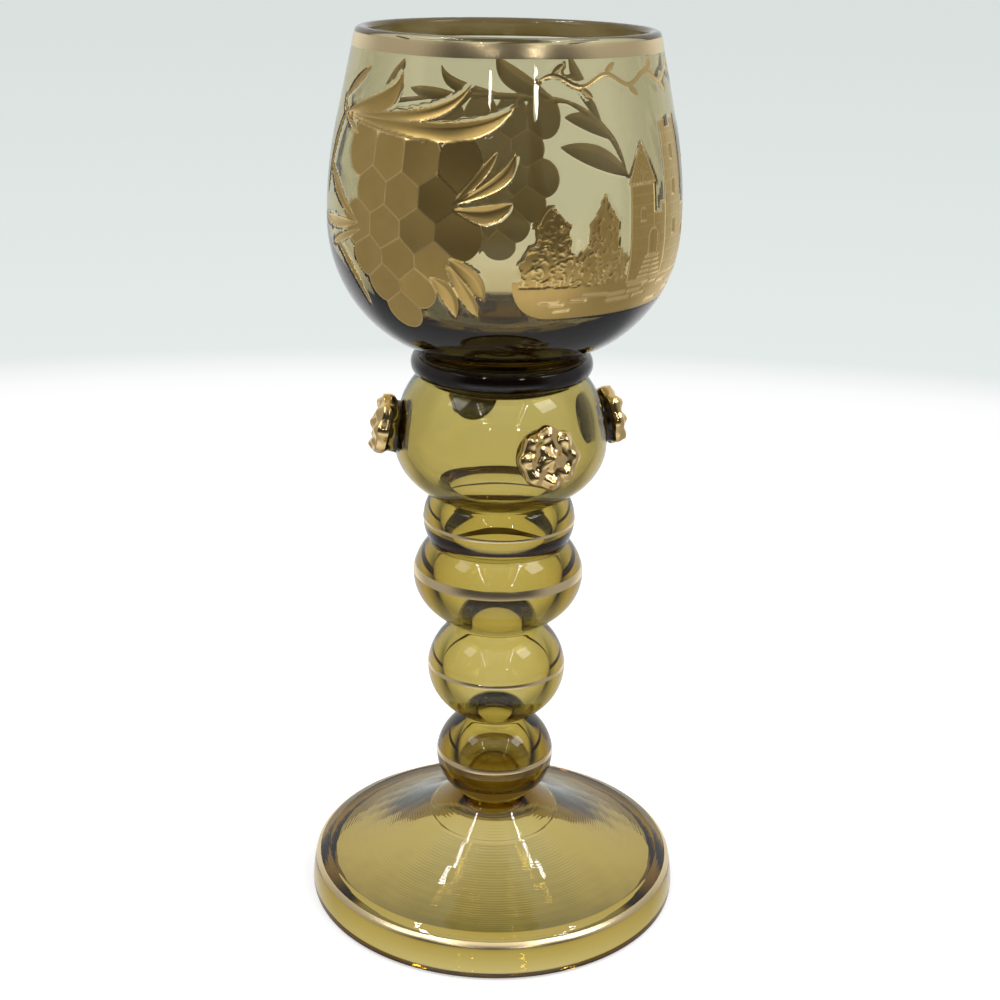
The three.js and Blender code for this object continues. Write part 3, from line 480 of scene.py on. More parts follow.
def castle(x, y):
    depth = np.full(x.shape, 0.12)
    polish_and_highlight = np.zeros(x.shape)

    # Water, with short ripples cut in and given polish with a painted highlight
    low, bank, end = WATERLINE - WATER_DEPTH, WATERLINE + BANK_HEIGHT, WATER_DEPTH * 1.4
    t = np.linspace(0, 1, 12)
    left = [(end * s * s, bank * (1 - s) ** 2 + low * (2 * s * (1 - s) + s * s)) for s in t]
    right = [(VIGNETTE_LENGTH - px, py) for px, py in reversed(left)]
    inside = np.maximum(OUTSIDE, inside_polygon(x, y, left + right))
    chance = np.random.RandomState(3)
    for _ in range(WATER_STROKES):
        cx, cy = chance.uniform(6, 64), chance.uniform(low + 0.9, WATERLINE - 0.6)
        reach = chance.uniform(1.2, 3.2)
        gap = line_gap(x, y, cx - reach, cy + chance.uniform(-0.2, 0.2), cx + reach, cy)
        depth = depth + 0.13 * (1 - ramp(gap, 0.1, 0.42))
        polish_and_highlight = np.maximum(polish_and_highlight, (1 - ramp(gap, 0.25, 0.6)) * 0.8)

    # Trees, covered with short curved strokes
    for at, height in TREES:
        outline = [(at + TREE_WIDTH / 2 * px, WATERLINE + height * py) for px, py in TREE_OUTLINE]
        crown = inside_polygon(x, y, outline) + 1.3 * (noise(x, y, 1.4, 21) - 0.5)
        crown = np.where(y < WATERLINE, OUTSIDE, crown)
        inside = np.maximum(inside, crown)
        here = crown > 0
        cut, shine = np.full(x.shape, 0.26), np.zeros(x.shape)
        for _ in range(TREE_STROKES):
            cx = at + chance.uniform(-0.55, 0.55) * TREE_WIDTH
            cy = WATERLINE + chance.uniform(0, 1) * height
            radius, start = chance.uniform(0.4, 0.95), chance.uniform(0, TURN)
            reach = chance.uniform(0.7, 1.5)
            turn = (np.arctan2(y - cy, x - cx) - start + math.pi) % TURN - math.pi
            gap = np.where(np.abs(turn) < reach, np.abs(np.hypot(x - cx, y - cy) - radius), 9.0)
            cut = cut - 0.09 * (1 - ramp(gap, 0.0, 0.28))
            shine = np.maximum(shine, (1 - ramp(gap, 0.04, 0.22)) * chance.uniform(0.2, 1.0))
        depth = np.where(here, np.clip(cut, 0.05, 1), depth)
        # The strokes' polish, with its painted highlight, fades towards the tops of the trees.
        polish_and_highlight = np.where(here, shine * (1 - 0.55 * ramp(y, WATERLINE + 3, WATERLINE + 15)), polish_and_highlight)

    # Masonry: walls cut smooth, with joints, windows and roofs
    def masonry(corners, level, course, brick, tint):
        nonlocal inside, depth, polish_and_highlight
        gap = inside_polygon(x, y, corners)
        here = gap > 0
        inside = np.maximum(inside, gap)
        row = np.floor((y - WATERLINE) / course)
        joint_y = np.abs((y - WATERLINE) / course - row - 0.5)
        shift = 0.5 * (row % 2)
        joint_x = np.abs(((x / brick + shift) % 1) - 0.5)
        joints = np.maximum(ramp(joint_y, 0.5 - 0.16 / course, 0.5),
                            ramp(joint_x, 0.5 - 0.14 / brick, 0.5))
        # Raised edges, and more faintly the joints, get polish and a painted highlight.
        edge = 1 - ramp(gap, 0.12, 0.4)
        depth = np.where(here, level + 0.05 * joints - 0.07 * edge, depth)
        polish_and_highlight = np.where(here, np.maximum(edge, tint * joints), polish_and_highlight)

    masonry(battlement(*WALL), 0.16, 2.0, 3.2, 0.35)
    masonry(battlement(*KEEP), 0.24, 2.2, 3.0, 0.3)
    for start, height in TURRETS:
        masonry(turret_outline(start, height), 0.28, 2.0, 2.6, 0.3)
        eave = WATERLINE + height
        middle = start + TURRET_WIDTH / 2
        left, right = start - ROOF_EAVE, start + TURRET_WIDTH + ROOF_EAVE
        roof = inside_polygon(x, y, [(left, eave), (right, eave), (middle, eave + ROOF_HEIGHT)])
        slats = np.abs((((x - middle) / np.maximum(eave + ROOF_HEIGHT - y, 0.6) * 9) % 1) - 0.5)
        here = roof > 0
        depth = np.where(here, 0.14 + 0.12 * ramp(slats, 0.1, 0.5), depth)
        # Roof edges and slats, and a line along the eave, get polish and a painted highlight.
        shine = np.maximum(1 - ramp(roof, 0.1, 0.4), ramp(slats, 0.35, 0.5) * 0.7)
        polish_and_highlight = np.where(here, shine, polish_and_highlight)
        sill = 1 - ramp(np.abs(y - eave), 0.15, 0.5)
        polish_and_highlight = np.where((x > left) & (x < right), np.maximum(polish_and_highlight, sill), polish_and_highlight)

    # Arched windows and the gate, deeper than the wall, their wells without polish, and polish with a
    # painted highlight round their rim
    for cx, cy, w, h in WINDOWS:
        arch = np.hypot(x - cx, np.maximum(y - cy, 0)) - w / 2
        box = np.maximum(arch, cy - h - y)
        well = 1 - ramp(box, -0.12, 0.12)
        rim = 1 - ramp(np.abs(box), 0.05, 0.32)
        depth = depth + 0.22 * well
        polish_and_highlight = np.maximum(polish_and_highlight * (1 - well), rim * 0.9)
    # Steps up to the gate, cut as lines with polish and a painted highlight
    for i in range(GATE_STEPS):
        level, reach = WATERLINE + 0.3 + 0.95 * i, 3.6 - 0.35 * i
        gap = line_gap(x, y, GATE_X - reach, level, GATE_X + reach, level)
        depth = depth + 0.1 * (1 - ramp(gap, 0.08, 0.35))
        polish_and_highlight = np.maximum(polish_and_highlight, 1 - ramp(gap, 0.15, 0.4))
    return inside, depth, polish_and_highlight


TENDRIL_AZIMUTH = 10
TENDRIL_LENGTH = 50
TENDRIL_HEIGHT = 57.4
TENDRIL_WAVES = 4
TENDRIL_SWING = 1.0
TENDRIL_WIDTH = 0.8


def tendril(x, y):
    share = np.clip(x / TENDRIL_LENGTH, 0, 1)
    phase = share * TENDRIL_WAVES * TURN
    wave = TENDRIL_HEIGHT + TENDRIL_SWING * np.sin(phase)
    slope = TENDRIL_SWING * TENDRIL_WAVES * TURN / TENDRIL_LENGTH * np.cos(phase)
    gap = np.abs(y - wave) / np.sqrt(1 + slope ** 2)
    taper = ramp(x, -0.3, 4) * (1 - ramp(x, TENDRIL_LENGTH - 4, TENDRIL_LENGTH + 0.3))
    inside = TENDRIL_WIDTH / 2 * (0.45 + 0.55 * taper) - gap
    inside = np.where((x < 0) | (x > TENDRIL_LENGTH), -1.0, inside)
    depth = 0.05 + 0.08 * np.clip(inside / 0.4, 0, 1)
    for i in range(TENDRIL_WAVES * 2):
        at = (i + 0.5) / (TENDRIL_WAVES * 2)
        foot = np.array([at * TENDRIL_LENGTH - TENDRIL_WIDTH / 2,
                         TENDRIL_HEIGHT + TENDRIL_SWING * math.sin(at * TENDRIL_WAVES * TURN)])
        up = -1 if i % 2 else 1
        into, cut, _ = leaf(x, y, foot, foot + (3.0, 2.0 * up), (0.8, 0.8), (-0.8, -0.8))
        depth = np.where(into > inside, 0.05 + 0.1 * np.clip(into, 0, 1), depth)
        inside = np.maximum(inside, into)
    return inside, depth, np.full(x.shape, 0.6)


# Name, solid, motif, azimuth of its start, its reach to the right and above the collar, and mesh step
MOTIFS = (
    ("grapes_front_gold", "grape_gilding_front", partial(grapes, FRONT_LEAVES), FRONT_GRAPE_AZIMUTH,
     (-18.5, 36), (8.5, 60), 0.25),
    ("grapes_back_gold", "grape_gilding_back", partial(grapes, BACK_LEAVES), BACK_GRAPE_AZIMUTH,
     (-26, 51.5), (8.5, 60), 0.28),
    ("castle_gold", "castle_gilding", castle, VIGNETTE_AZIMUTH, (-1, 71), (13.5, 51), 0.22),
    ("tendril_gold", "tendril_gilding", tendril, TENDRIL_AZIMUTH, (-1, 51), (54, 61), 0.16),
)
RELIEF_UNDER_GOLD = 0.03
# Nearest that an outline point of the gold comes to a grid point, as a share of the step
CROSSING_MARGIN = 0.04


def relief(azimuth, height):
    """Depth of all the cutting on the bowl, a little more than the gold's so that it stays under it."""
    depth = np.zeros(azimuth.shape)
    for _, _, motif, start, (x0, x1), (y0, y1), _ in MOTIFS:
        x = ((azimuth - start + 180) % 360 - 180) * math.pi / 180 * BOWL_BELLY_RADIUS
        near = (x > x0) & (x < x1) & (height > y0) & (height < y1)
        if not near.any():
            continue
        inside, cut, _ = motif(x[near], height[near])
        depth[near] = np.maximum(
            depth[near], np.where(inside > 0, np.clip(cut, 0, None) + RELIEF_UNDER_GOLD, 0))
    return depth


def gilded(name, node, motif, azimuth, x_reach, y_reach, step):
    """A closed gold skin over a motif, cut off along its outline."""
    gx, gy = np.meshgrid(*(np.arange(low, high + step, step) for low, high in (x_reach, y_reach)))
    inside, cut, shine = motif(gx, gy)
    field = np.stack([gx, gy, np.clip(cut, 0, None), shine], axis=-1)
    flat, known, boundary = [], {}, {}

    def corner(at):
        if at not in known:
            known[at] = len(flat)
            flat.append(field[at])
        return known[at]

    def crossing(p, q):
        a, b = key = (p, q) if p < q else (q, p)
        if key not in known:
            t = inside[a] / (inside[a] - inside[b])
            t = min(max(t, CROSSING_MARGIN), 1 - CROSSING_MARGIN)
            known[key] = len(flat)
            flat.append(field[a] * (1 - t) + field[b] * t)
        return known[key]

    tops = []
    solid = inside > 0
    busy = solid[:-1, :-1] | solid[1:, :-1] | solid[:-1, 1:] | solid[1:, 1:]
    for i, j in zip(*np.nonzero(busy)):
        loop = ((i, j), (i, j + 1), (i + 1, j + 1), (i + 1, j))
        shape = []
        for p, q in zip(loop, loop[1:] + loop[:1]):
            if solid[p]:
                shape.append(corner(p))
            if solid[p] != solid[q]:
                shape.append(crossing(p, q))
        tops.append(shape)
        for a, b in zip(shape, shape[1:] + shape[:1]):
            if boundary.pop((b, a), None) is None:
                boundary[(a, b)] = True
    flat = np.array(flat)
    count = len(flat)
    angle = np.radians(azimuth) + flat[:, 0] / BOWL_BELLY_RADIUS
    z = COLLAR_HIGH + flat[:, 1]
    surface = bowl_outer(z) - flat[:, 2]
    layers = [round_axis(r, angle, z) for r in (surface + GOLD_OVER, surface - GOLD_UNDER)]
    backs = [tuple(count + k for k in reversed(shape)) for shape in tops]
    walls = [(b, a, a + count, b + count) for a, b in boundary]
    faces = [tuple(shape) for shape in tops] + backs + walls
    marks = [0] * len(tops) + [1] * len(backs) + [0] * len(walls)
    place(name, np.concatenate(layers), faces, [matt_gold, gold_back], "matt_gold", [node], marks,
          np.tile(flat[:, 3], 2), crease=60)


# ---- materials
# A wave texture of scale 1 has this many rings in a unit of length, turned round
RINGS_PER_UNIT = TURN / 20
RING_DISTORTION = 0.6
GLASS_IOR = 1.5
# Cloudy wear of the gold: its scale, and how it adds to the polish value, which also drives the painted
# highlight
WEAR_SCALE = 260
WEAR_SHARE, WEAR_OFFSET = 0.35, -0.12


def add(tree, kind, sockets=None, **settings):
    """Adds a node with its own settings. A socket gets a constant, or a link from another node's output."""
    made = tree.nodes.new("ShaderNode" + kind)
    for key, value in settings.items():
        setattr(made, key, value)
    for key, value in (sockets or {}).items():
        if isinstance(value, bpy.types.NodeSocket):
            tree.links.new(value, made.inputs[key])
        else:
            made.inputs[key].default_value = value
    return made


def empty_material(name):
    material = bpy.data.materials.new(name)
    material.use_nodes = True
    material.node_tree.nodes.clear()
    return material, material.node_tree


def glass(name, absorbed, density, wave_size, wave_height, ripple_size=0, ripple_height=0):
    """Clear coloured glass: absorption by depth, slow waves of blown glass, and rings left by tooling."""
    material, tree = empty_material(name)
    place_at = add(tree, "TexCoord").outputs["Object"]
    waves = add(tree, "TexNoise", {"Vector": place_at, "Scale": 1 / (wave_size * MM), "Detail": 1})
    bump = add(tree, "Bump", {"Height": waves.outputs["Fac"], "Distance": wave_height * MM})
    if ripple_height:
        rings = add(tree, "TexWave", {"Vector": place_at, "Scale": RINGS_PER_UNIT / (ripple_size * MM),
                                      "Distortion": RING_DISTORTION, "Detail": 0},
                    wave_type="RINGS", rings_direction="Z")
        bump = add(tree, "Bump", {"Height": rings.outputs["Fac"], "Normal": bump.outputs["Normal"],
                                  "Distance": ripple_height * MM})
    shader = add(tree, "BsdfPrincipled", {
        "Base Color": (1, 1, 1, 1), "Roughness": 0, "IOR": GLASS_IOR, "Transmission Weight": 1,
        "Normal": bump.outputs["Normal"]})
    volume = add(tree, "VolumeAbsorption", {"Color": (*absorbed, 1), "Density": density})
    add(tree, "OutputMaterial", {"Surface": shader.outputs[0], "Volume": volume.outputs["Volume"]})
    return material


def gold(name, dull, bright, rough, smooth, grain, grain_height, metallic=1):
    """Burnt-on gold: dull where it lies in the cut, polished on ridges and edges, where its colour is also
    lifted as a painted highlight, faintly worn.
    """
    material, tree = empty_material(name)
    place_at = add(tree, "TexCoord").outputs["Object"]
    polish_and_highlight = add(tree, "Attribute", attribute_name="polish_and_highlight")
    cloud = add(tree, "TexNoise", {"Vector": place_at, "Scale": WEAR_SCALE, "Detail": 3})
    fine = add(tree, "TexNoise", {"Vector": place_at, "Scale": 1 / (grain * MM), "Detail": 2})
    wear = add(tree, "Math", {0: cloud.outputs["Fac"], 1: WEAR_SHARE, 2: WEAR_OFFSET},
               operation="MULTIPLY_ADD", use_clamp=True)
    total = add(tree, "Math", {0: wear.outputs[0], 1: polish_and_highlight.outputs["Fac"]},
                operation="ADD", use_clamp=True).outputs[0]
    # Polish lifts the base colour as well as lowering the roughness: the colour lift is a painted highlight.
    colour = add(tree, "Mix", {"Factor": total, "A": (*dull, 1), "B": (*bright, 1)}, data_type="RGBA")
    shine = add(tree, "MapRange", {"Value": total, "To Min": rough, "To Max": smooth})
    bump = add(tree, "Bump", {"Height": fine.outputs["Fac"], "Distance": grain_height * MM})
    shader = add(tree, "BsdfPrincipled", {
        "Metallic": metallic, "Base Color": colour.outputs["Result"], "Roughness": shine.outputs["Result"],
        "Normal": bump.outputs["Normal"]})
    add(tree, "OutputMaterial", {"Surface": shader.outputs[0]})
    return material


# Glass: colour left by the absorption, its density, and size and height of the waves and rings
bowl_glass = glass("bowl_glass", (0.65, 0.54, 0.05), 200, 14, 0.05)
bulb_glass = glass("bulb_glass", (0.755, 0.67, 0.14), 520, 9, 0.04)
stem_glass = glass("stem_glass", (0.77, 0.67, 0.06), 380, 9, 0.04)
# The foot's glass is partly denser as painted shade: it stands for the shaded table under the foot, which
# the glass doesn't see.
foot_glass = glass("foot_glass", (0.77, 0.675, 0.17), 520, 7, 0.05, 0.6, 0.006)
dark_glass = glass("dark_glass", (0.745, 0.67, 0.20), 560, 4, 0.05)
# Gold: dull colour, bright colour where polish adds a painted highlight, roughness of both, and size and
# height of the grain
matt_gold = gold("matt_gold", (0.60, 0.41, 0.135), (0.95, 0.70, 0.31), 0.31, 0.20, 0.25, 0.008)
band_gold = gold("band_gold", (0.92, 0.73, 0.42), (0.98, 0.82, 0.54), 0.26, 0.16, 0.35, 0.012)
bright_gold = gold("bright_gold", (0.86, 0.62, 0.28), (0.98, 0.77, 0.42), 0.10, 0.05, 0.6, 0.015)
gold_back = gold("gold_back", (0.66, 0.56, 0.36), (0.97, 0.88, 0.66), 0.50, 0.35, 0.4, 0.02, 0.6)

# ---- stem
heights = sampled(outer, STEM_KEYS, 0.8, 0.2, 0.9)
stem_side = [(stem_outer(z), z) for z in heights[1:-1]]
stem_top = outer["ring"]["high"]
ring_crease, ring_bore = BULGES["ring"]["crease"], BULGES["ring"]["bore"]
bore_heights = sampled(inner, STEM_KEYS, 1.0, 0.25, 0.8)
bore_low = inner["lower"]["low"]
stem_bore = [(stem_inner(z), z) for z in bore_heights if z > bore_low + 0.9][::-1]
stem_profile = (
    [(0, FOOT_HEIGHT - FUSED), (FOOT_NECK_RADIUS - 0.3, FOOT_HEIGHT - FUSED),
     (FOOT_NECK_RADIUS - 0.05, FOOT_HEIGHT)]
    + stem_side
    + [(ring_crease, stem_top), (ring_crease - 0.1, stem_top + FUSED), (ring_bore + 0.05, stem_top + FUSED)]
    + stem_bore
    + rounded([stem_bore[-1], (STEM_FLOOR_RADIUS, bore_low), (0, bore_low)])[1:]
)
place("stem_glass_body", *turned(stem_profile), [stem_glass], "stem_glass", ["stem"])


# ---- gilt bands: a ring follows the curve that it lies on, a little over and under it
def band_on(name, curve, low, high, node, steps=6, waver=0.0):
    angle = np.arange(TURNS) * TURN / TURNS
    rings_over, rings_under = [], []
    for i in range(steps + 1):
        share = i / steps
        edge = math.sin(math.pi * share) ** 0.35 if 0 < share < 1 else 0.35
        wobble = waver * (np.sin(3 * angle + 4 * share) + 0.6 * np.sin(7 * angle + 1 + 3 * share))
        z = low + (high - low) * share + wobble * (1 if i == 0 else 0.5)
        radius = curve(z)
        rings_over.append(ring(radius + GOLD_OVER * edge, z, TURNS))
        rings_under.append(ring(radius - GOLD_UNDER * edge, z, TURNS))
    points, faces = skinned(rings_over + rings_under[::-1], closed=True)
    over = TURNS * steps
    marks = [0] * (over + TURNS) + [1] * over + [0] * TURNS
    place(name, points, faces, [band_gold, gold_back], "band_gold", [node], marks, crease=70)


for key in STEM_KEYS:
    half = BULGES[key]["band"] / 2
    middle = outer[key]["belly_z"] + BULGES[key]["rise"]
    band_on(f"{key}_knop_gold", stem_outer, middle - half, middle + half, f"{key}_knop_band", waver=0.04)
rim_high = LIP_Z - RIM_BAND_DROP
band_on("rim_gold", bowl_outer, rim_high - RIM_BAND_WIDTH, rim_high, "rim_band", steps=8, waver=0.05)

# ---- bulb
heights = sampled(outer, ("bulb",), 0.8, 0.2, 0.9)
bore_heights = sampled(inner, ("bulb",), 1.0, 0.3, 0.9)
bulb_low = outer["bulb"]["low"]
bulb_profile = (
    [(ring_bore, bulb_low), (ring_crease, bulb_low)]
    + [(bulb_outer(z), z) for z in heights[1:-1]]
    + [(BULGES["bulb"]["crease"], COLLAR_LOW), (BULGES["bulb"]["bore"], COLLAR_LOW)]
    + [(bulb_inner(z), z) for z in bore_heights[::-1]]
)
place("bulb_glass_body", *turned(bulb_profile, closed=True), [bulb_glass], "stem_glass", ["bulb"])

# ---- foot
RIPPLE_HEIGHT, RIPPLE_LENGTH = 0.004, 2.1
top_radii = np.linspace(FOOT_BAND_INNER - 0.2, FOOT_NECK_RADIUS, 90)
ripples = RIPPLE_HEIGHT * np.sin(TURN * top_radii / RIPPLE_LENGTH)
top_side = [(r, foot_top(r) + w) for r, w in zip(top_radii, ripples)]
under_radii = np.linspace(FOOT_KICK_RADIUS + 0.4, FOOT_CONTACT[0] - FOOT_INNER_ROUND, 30)
# Dome of the hollow under the stem: radius, and height over the kick
DOME = ((0, 1.2), (4, 1.0), (8, 0), (11, -1.7), (FOOT_KICK_RADIUS + 0.3, -2.6))
kick_edge = rounded([(r, FOOT_KICK_HEIGHT + rise) for r, rise in DOME]
                    + [(under_radii[0], foot_top(under_radii[0]) - FOOT_THICKNESS)])
foot_edge = rounded([
    (under_radii[-1], foot_top(under_radii[-1]) - FOOT_THICKNESS),
    (FOOT_CONTACT[0] - 0.3, 0.9), (FOOT_CONTACT[0], 0), (FOOT_CONTACT[1], 0),
    (FOOT_RADIUS, FOOT_EDGE_ROUND),
    ((FOOT_RADIUS + FOOT_SHOULDER_RADIUS) / 2 + 0.15, FOOT_SHOULDER_HEIGHT - FOOT_SHOULDER_ROUND),
    (FOOT_SHOULDER_RADIUS, FOOT_SHOULDER_HEIGHT + 0.1), (FOOT_BAND_INNER, FOOT_RIM_HEIGHT),
    top_side[0],
])
foot_profile = (
    kick_edge
    + [(r, foot_top(r) - FOOT_THICKNESS) for r in under_radii[1:-1]]
    + foot_edge
    + top_side[1:]
    + [(0, FOOT_HEIGHT)]
)
place("foot_glass_body", *turned(foot_profile), [foot_glass], "foot_glass", ["foot"])

# The foot's band lies over the rounded shoulder, on the profile's points above and outside these
BAND_LOW, BAND_INNER = 6.9, 39.3
shoulder = [(r, z) for r, z in foot_edge if z > BAND_LOW and r > BAND_INNER]
over = [(r + GOLD_OVER, z + GOLD_OVER) for r, z in shoulder]
under = [(r - FOOT_BAND_UNDER, z - FOOT_BAND_UNDER) for r, z in shoulder]
points, faces = turned(over + under[::-1], closed=True)
marks = [0] * (TURNS * len(over)) + [1] * (TURNS * (len(under) - 1)) + [0] * TURNS
place("foot_gold", points, faces, [band_gold, gold_back], "band_gold", ["foot_band"], marks, crease=70)

# ---- collar
angles = np.linspace(-math.pi / 2, math.pi / 2, 21)
plug_low = COLLAR_LOW - COLLAR_PLUG_DEPTH
collar_profile = (
    [(0, plug_low)]
    + rounded([(12, plug_low), (COLLAR_PLUG_RADIUS, plug_low), (COLLAR_PLUG_RADIUS, COLLAR_LOW - FUSED)], 2)
    + [(17.05, COLLAR_LOW - FUSED)]
    + [(COLLAR_SEAT_RADIUS + (COLLAR_RADIUS - COLLAR_SEAT_RADIUS) * math.cos(a),
        COLLAR_LOW + COLLAR_HEIGHT / 2 * (1 + math.sin(a))) for a in angles]
    + [(17.0, COLLAR_HIGH + FUSED), (0, COLLAR_HIGH + FUSED)]
)
place("collar_glass_body", *turned(collar_profile), [dark_glass], "dark_glass", ["collar"])

# ---- bowl
COLUMNS = 448
SEAT_RISE = 1.9
# Edge of the bowl's seat: outwards from the seat's radius, and up from the collar
BOWL_SEAT = ((-0.6, 0), (-0.1, 0.2), (0, 0.9))
CUT_LOW, CUT_HIGH, CUT_STEP = 137.0, 185.6, 0.5
BELOW_CUT = 136.6
LIP_ROUND = 1.1
low_part = (COLLAR_HIGH + SEAT_RISE
            + (BELOW_CUT - COLLAR_HIGH - SEAT_RISE) * np.linspace(0, 1, 18) ** 1.5)
cut_part = np.arange(CUT_LOW, CUT_HIGH, CUT_STEP)
top_part = np.array([186.2, 187.2, 188.2, 188.9])
azimuths = np.degrees(TURN * np.arange(COLUMNS) / COLUMNS)
bowl_rings = [ring(0, COLLAR_HIGH, 1)]
bowl_rings += [ring(COLLAR_SEAT_RADIUS + out, COLLAR_HIGH + up, COLUMNS) for out, up in BOWL_SEAT]
bowl_rings += [ring(bowl_outer(z) - relief(azimuths, np.full(COLUMNS, z - COLLAR_HIGH)), z, COLUMNS)
               for z in np.concatenate([low_part, cut_part, top_part])]
lip_middle = bowl_outer(LIP_Z - LIP_ROUND) - BOWL_WALL / 2
bowl_rings += [ring(lip_middle + BOWL_WALL / 2 * math.cos(a),
                    LIP_Z - LIP_ROUND + LIP_ROUND * math.sin(a), COLUMNS)
               for a in np.radians(np.linspace(15, 165, 11))]
share = np.sin(np.linspace(0, math.pi / 2, 30))
inner_heights = np.concatenate([
    np.linspace(LIP_Z - LIP_ROUND, BELLY_Z, 24), BELLY_Z - (BELLY_Z - FLOOR_Z) * share[1:]])
bowl_rings += [ring(bowl_inner(z), z, COLUMNS // 2) for z in inner_heights]
bowl_rings += [ring(BOWL_INNER_CORE_RADIUS * 0.5, FLOOR_Z - 0.02, COLUMNS // 2), ring(0, FLOOR_Z - 0.03, 1)]
place("bowl_glass_body", *skinned(bowl_rings), [bowl_glass], "bowl_glass", ["bowl"], crease=80)

for motif in MOTIFS:
    gilded(*motif)

# ---- prunts: a glass pad on the bulb and a burnished rosette over its face
SEAT_RADIUS = outer["bulb"]["belly"]
PRUNT_Z = outer["bulb"]["belly_z"] + PRUNT_HEIGHT_ABOVE_BELLY
LOBES = 8
FACE_COLUMNS = 96
PRUNT_FACE_DROP = 1.65
PRUNT_GOLD = 0.18
# How far the pad lies under its gold, on the face and on the side
PAD_UNDER, PAD_SIDE_UNDER = 0.12, 0.09
# Root inside the bulb's wall, rings of the pad's back, and its neck
ROOT_DEPTH, ROOT_LOWEST = 0.25, -9.0
BACK_RADII = (2.0, 4.0, 5.3)
NECK_RADIUS, NECK_HOLLOW, NECK_TOP = 5.6, 0.12, 0.55
# Side of a prunt, from its neck to its face: radius and height over the seat
PRUNT_SIDE = ((5.9, 0.6), (6.25, 0.85), (6.45, 1.15), (6.58, 1.6), (6.6, 2.1), (6.5, 2.6), (6.42, 2.9))


def rosette(share, angle):
    """Height of the pressed face over the pad's flat: a rim of lobes, a furrow and a boss."""
    dome = 0.75 * (1 - share ** 2)
    rim = 0.95 * np.exp(-((share - 0.74) / 0.17) ** 2)
    lobes = 0.5 + 0.5 * np.cos(LOBES * angle)
    boss = 1.35 * np.exp(-(share / 0.27) ** 2)
    crinkle = 0.15 * np.sin(3 * angle + 9 * share) + 0.11 * np.sin(5 * angle - 13 * share + 1)
    return dome + rim * (0.4 + 0.6 * lobes) + boss + crinkle * ramp(share, 0.1, 0.5)


def prunt_edge(angle):
    return PRUNT_RADIUS - 0.3 + 0.3 * np.cos(LOBES * angle)


def seated(local, azimuth):
    """Turns pad points (x right, y up, z outwards from the seat) onto the bulb."""
    matrix = (Matrix.Rotation(math.radians(azimuth), 4, "Z")
              @ Matrix.Translation((0, -SEAT_RADIUS, PRUNT_Z))
              @ Matrix.Rotation(math.radians(90 - PRUNT_TILT), 4, "X"))
    return np.array([matrix @ Vector(p) for p in local])


def root_height(radius, angle):
    """How far the pad's root reaches down at each angle, to lie just inside the bulb."""
    found = []
    for a in angle:
        low, high = ROOT_LOWEST, 1.0
        for _ in range(22):
            mid = (low + high) / 2
            p = seated([(radius * math.cos(a), radius * math.sin(a), mid)], 0)[0]
            if math.hypot(p[0], p[1]) > bulb_outer(p[2]) - ROOT_DEPTH:
                high = mid
            else:
                low = mid
        found.append(high)
    return np.array(found)


def prunt(number, azimuth):
    angle = TURN * np.arange(FACE_COLUMNS) / FACE_COLUMNS
    flat_at = PRUNT_PROJECTION - PRUNT_FACE_DROP
    middle = flat_at + rosette(0, 0)

    def plain_ring(radius, height):
        return np.stack(np.broadcast_arrays(radius * np.cos(angle), radius * np.sin(angle), height), axis=1)

    def lobed_ring(radius, height):
        return plain_ring(radius * prunt_edge(angle) / PRUNT_RADIUS, height)

    def face_ring(share, lift):
        return plain_ring(prunt_edge(angle) * share,
                          flat_at + rosette(np.full(angle.shape, share), angle) + lift)

    neck_root = root_height(NECK_RADIUS + 0.1, angle)
    rings = [np.array([[0, 0, root_height(0.01, angle)[0]]])]
    rings += [plain_ring(radius, root_height(radius, angle)) for radius in BACK_RADII]
    rings.append(plain_ring(NECK_RADIUS + 0.05, neck_root))
    rings += [plain_ring(NECK_RADIUS - NECK_HOLLOW * math.sin(math.pi * share),
                         neck_root * (1 - share) + NECK_TOP * share) for share in (0.35, 0.7)]
    rings += [lobed_ring(radius - PAD_SIDE_UNDER, height) for radius, height in PRUNT_SIDE]
    rings += [face_ring(share, -PAD_UNDER) for share in np.linspace(0.95, 0.04, 27)]
    rings.append(np.array([[0, 0, middle - PAD_UNDER]]))
    points, faces = skinned(rings)
    place(f"prunt_{number}_pad", seated(points, azimuth), faces, [dark_glass], "dark_glass",
          [f"prunt_{number}"])

    side, shares = PRUNT_SIDE[2:], np.linspace(0.96, 0.03, 34)
    over = [lobed_ring(r, h) for r, h in side] + [face_ring(s, 0.0) for s in shares]
    under = ([face_ring(s, -PRUNT_GOLD) for s in shares[::-1]]
             + [lobed_ring(r - PRUNT_GOLD, h) for r, h in side[::-1]])
    top = np.array([[0, 0, middle]])
    points, faces = skinned([top - [[0, 0, PRUNT_GOLD]]] + under + over + [top])
    back_faces = FACE_COLUMNS * len(under)
    marks = [1] * back_faces + [0] * (len(faces) - back_faces)
    place(f"prunt_{number}_gold", seated(points, azimuth), faces, [bright_gold, gold_back], "bright_gold",
          [f"prunt_gilding_{number}"], marks, crease=60)


for number, azimuth in enumerate(PRUNT_AZIMUTHS, 1):
    prunt(number, azimuth)

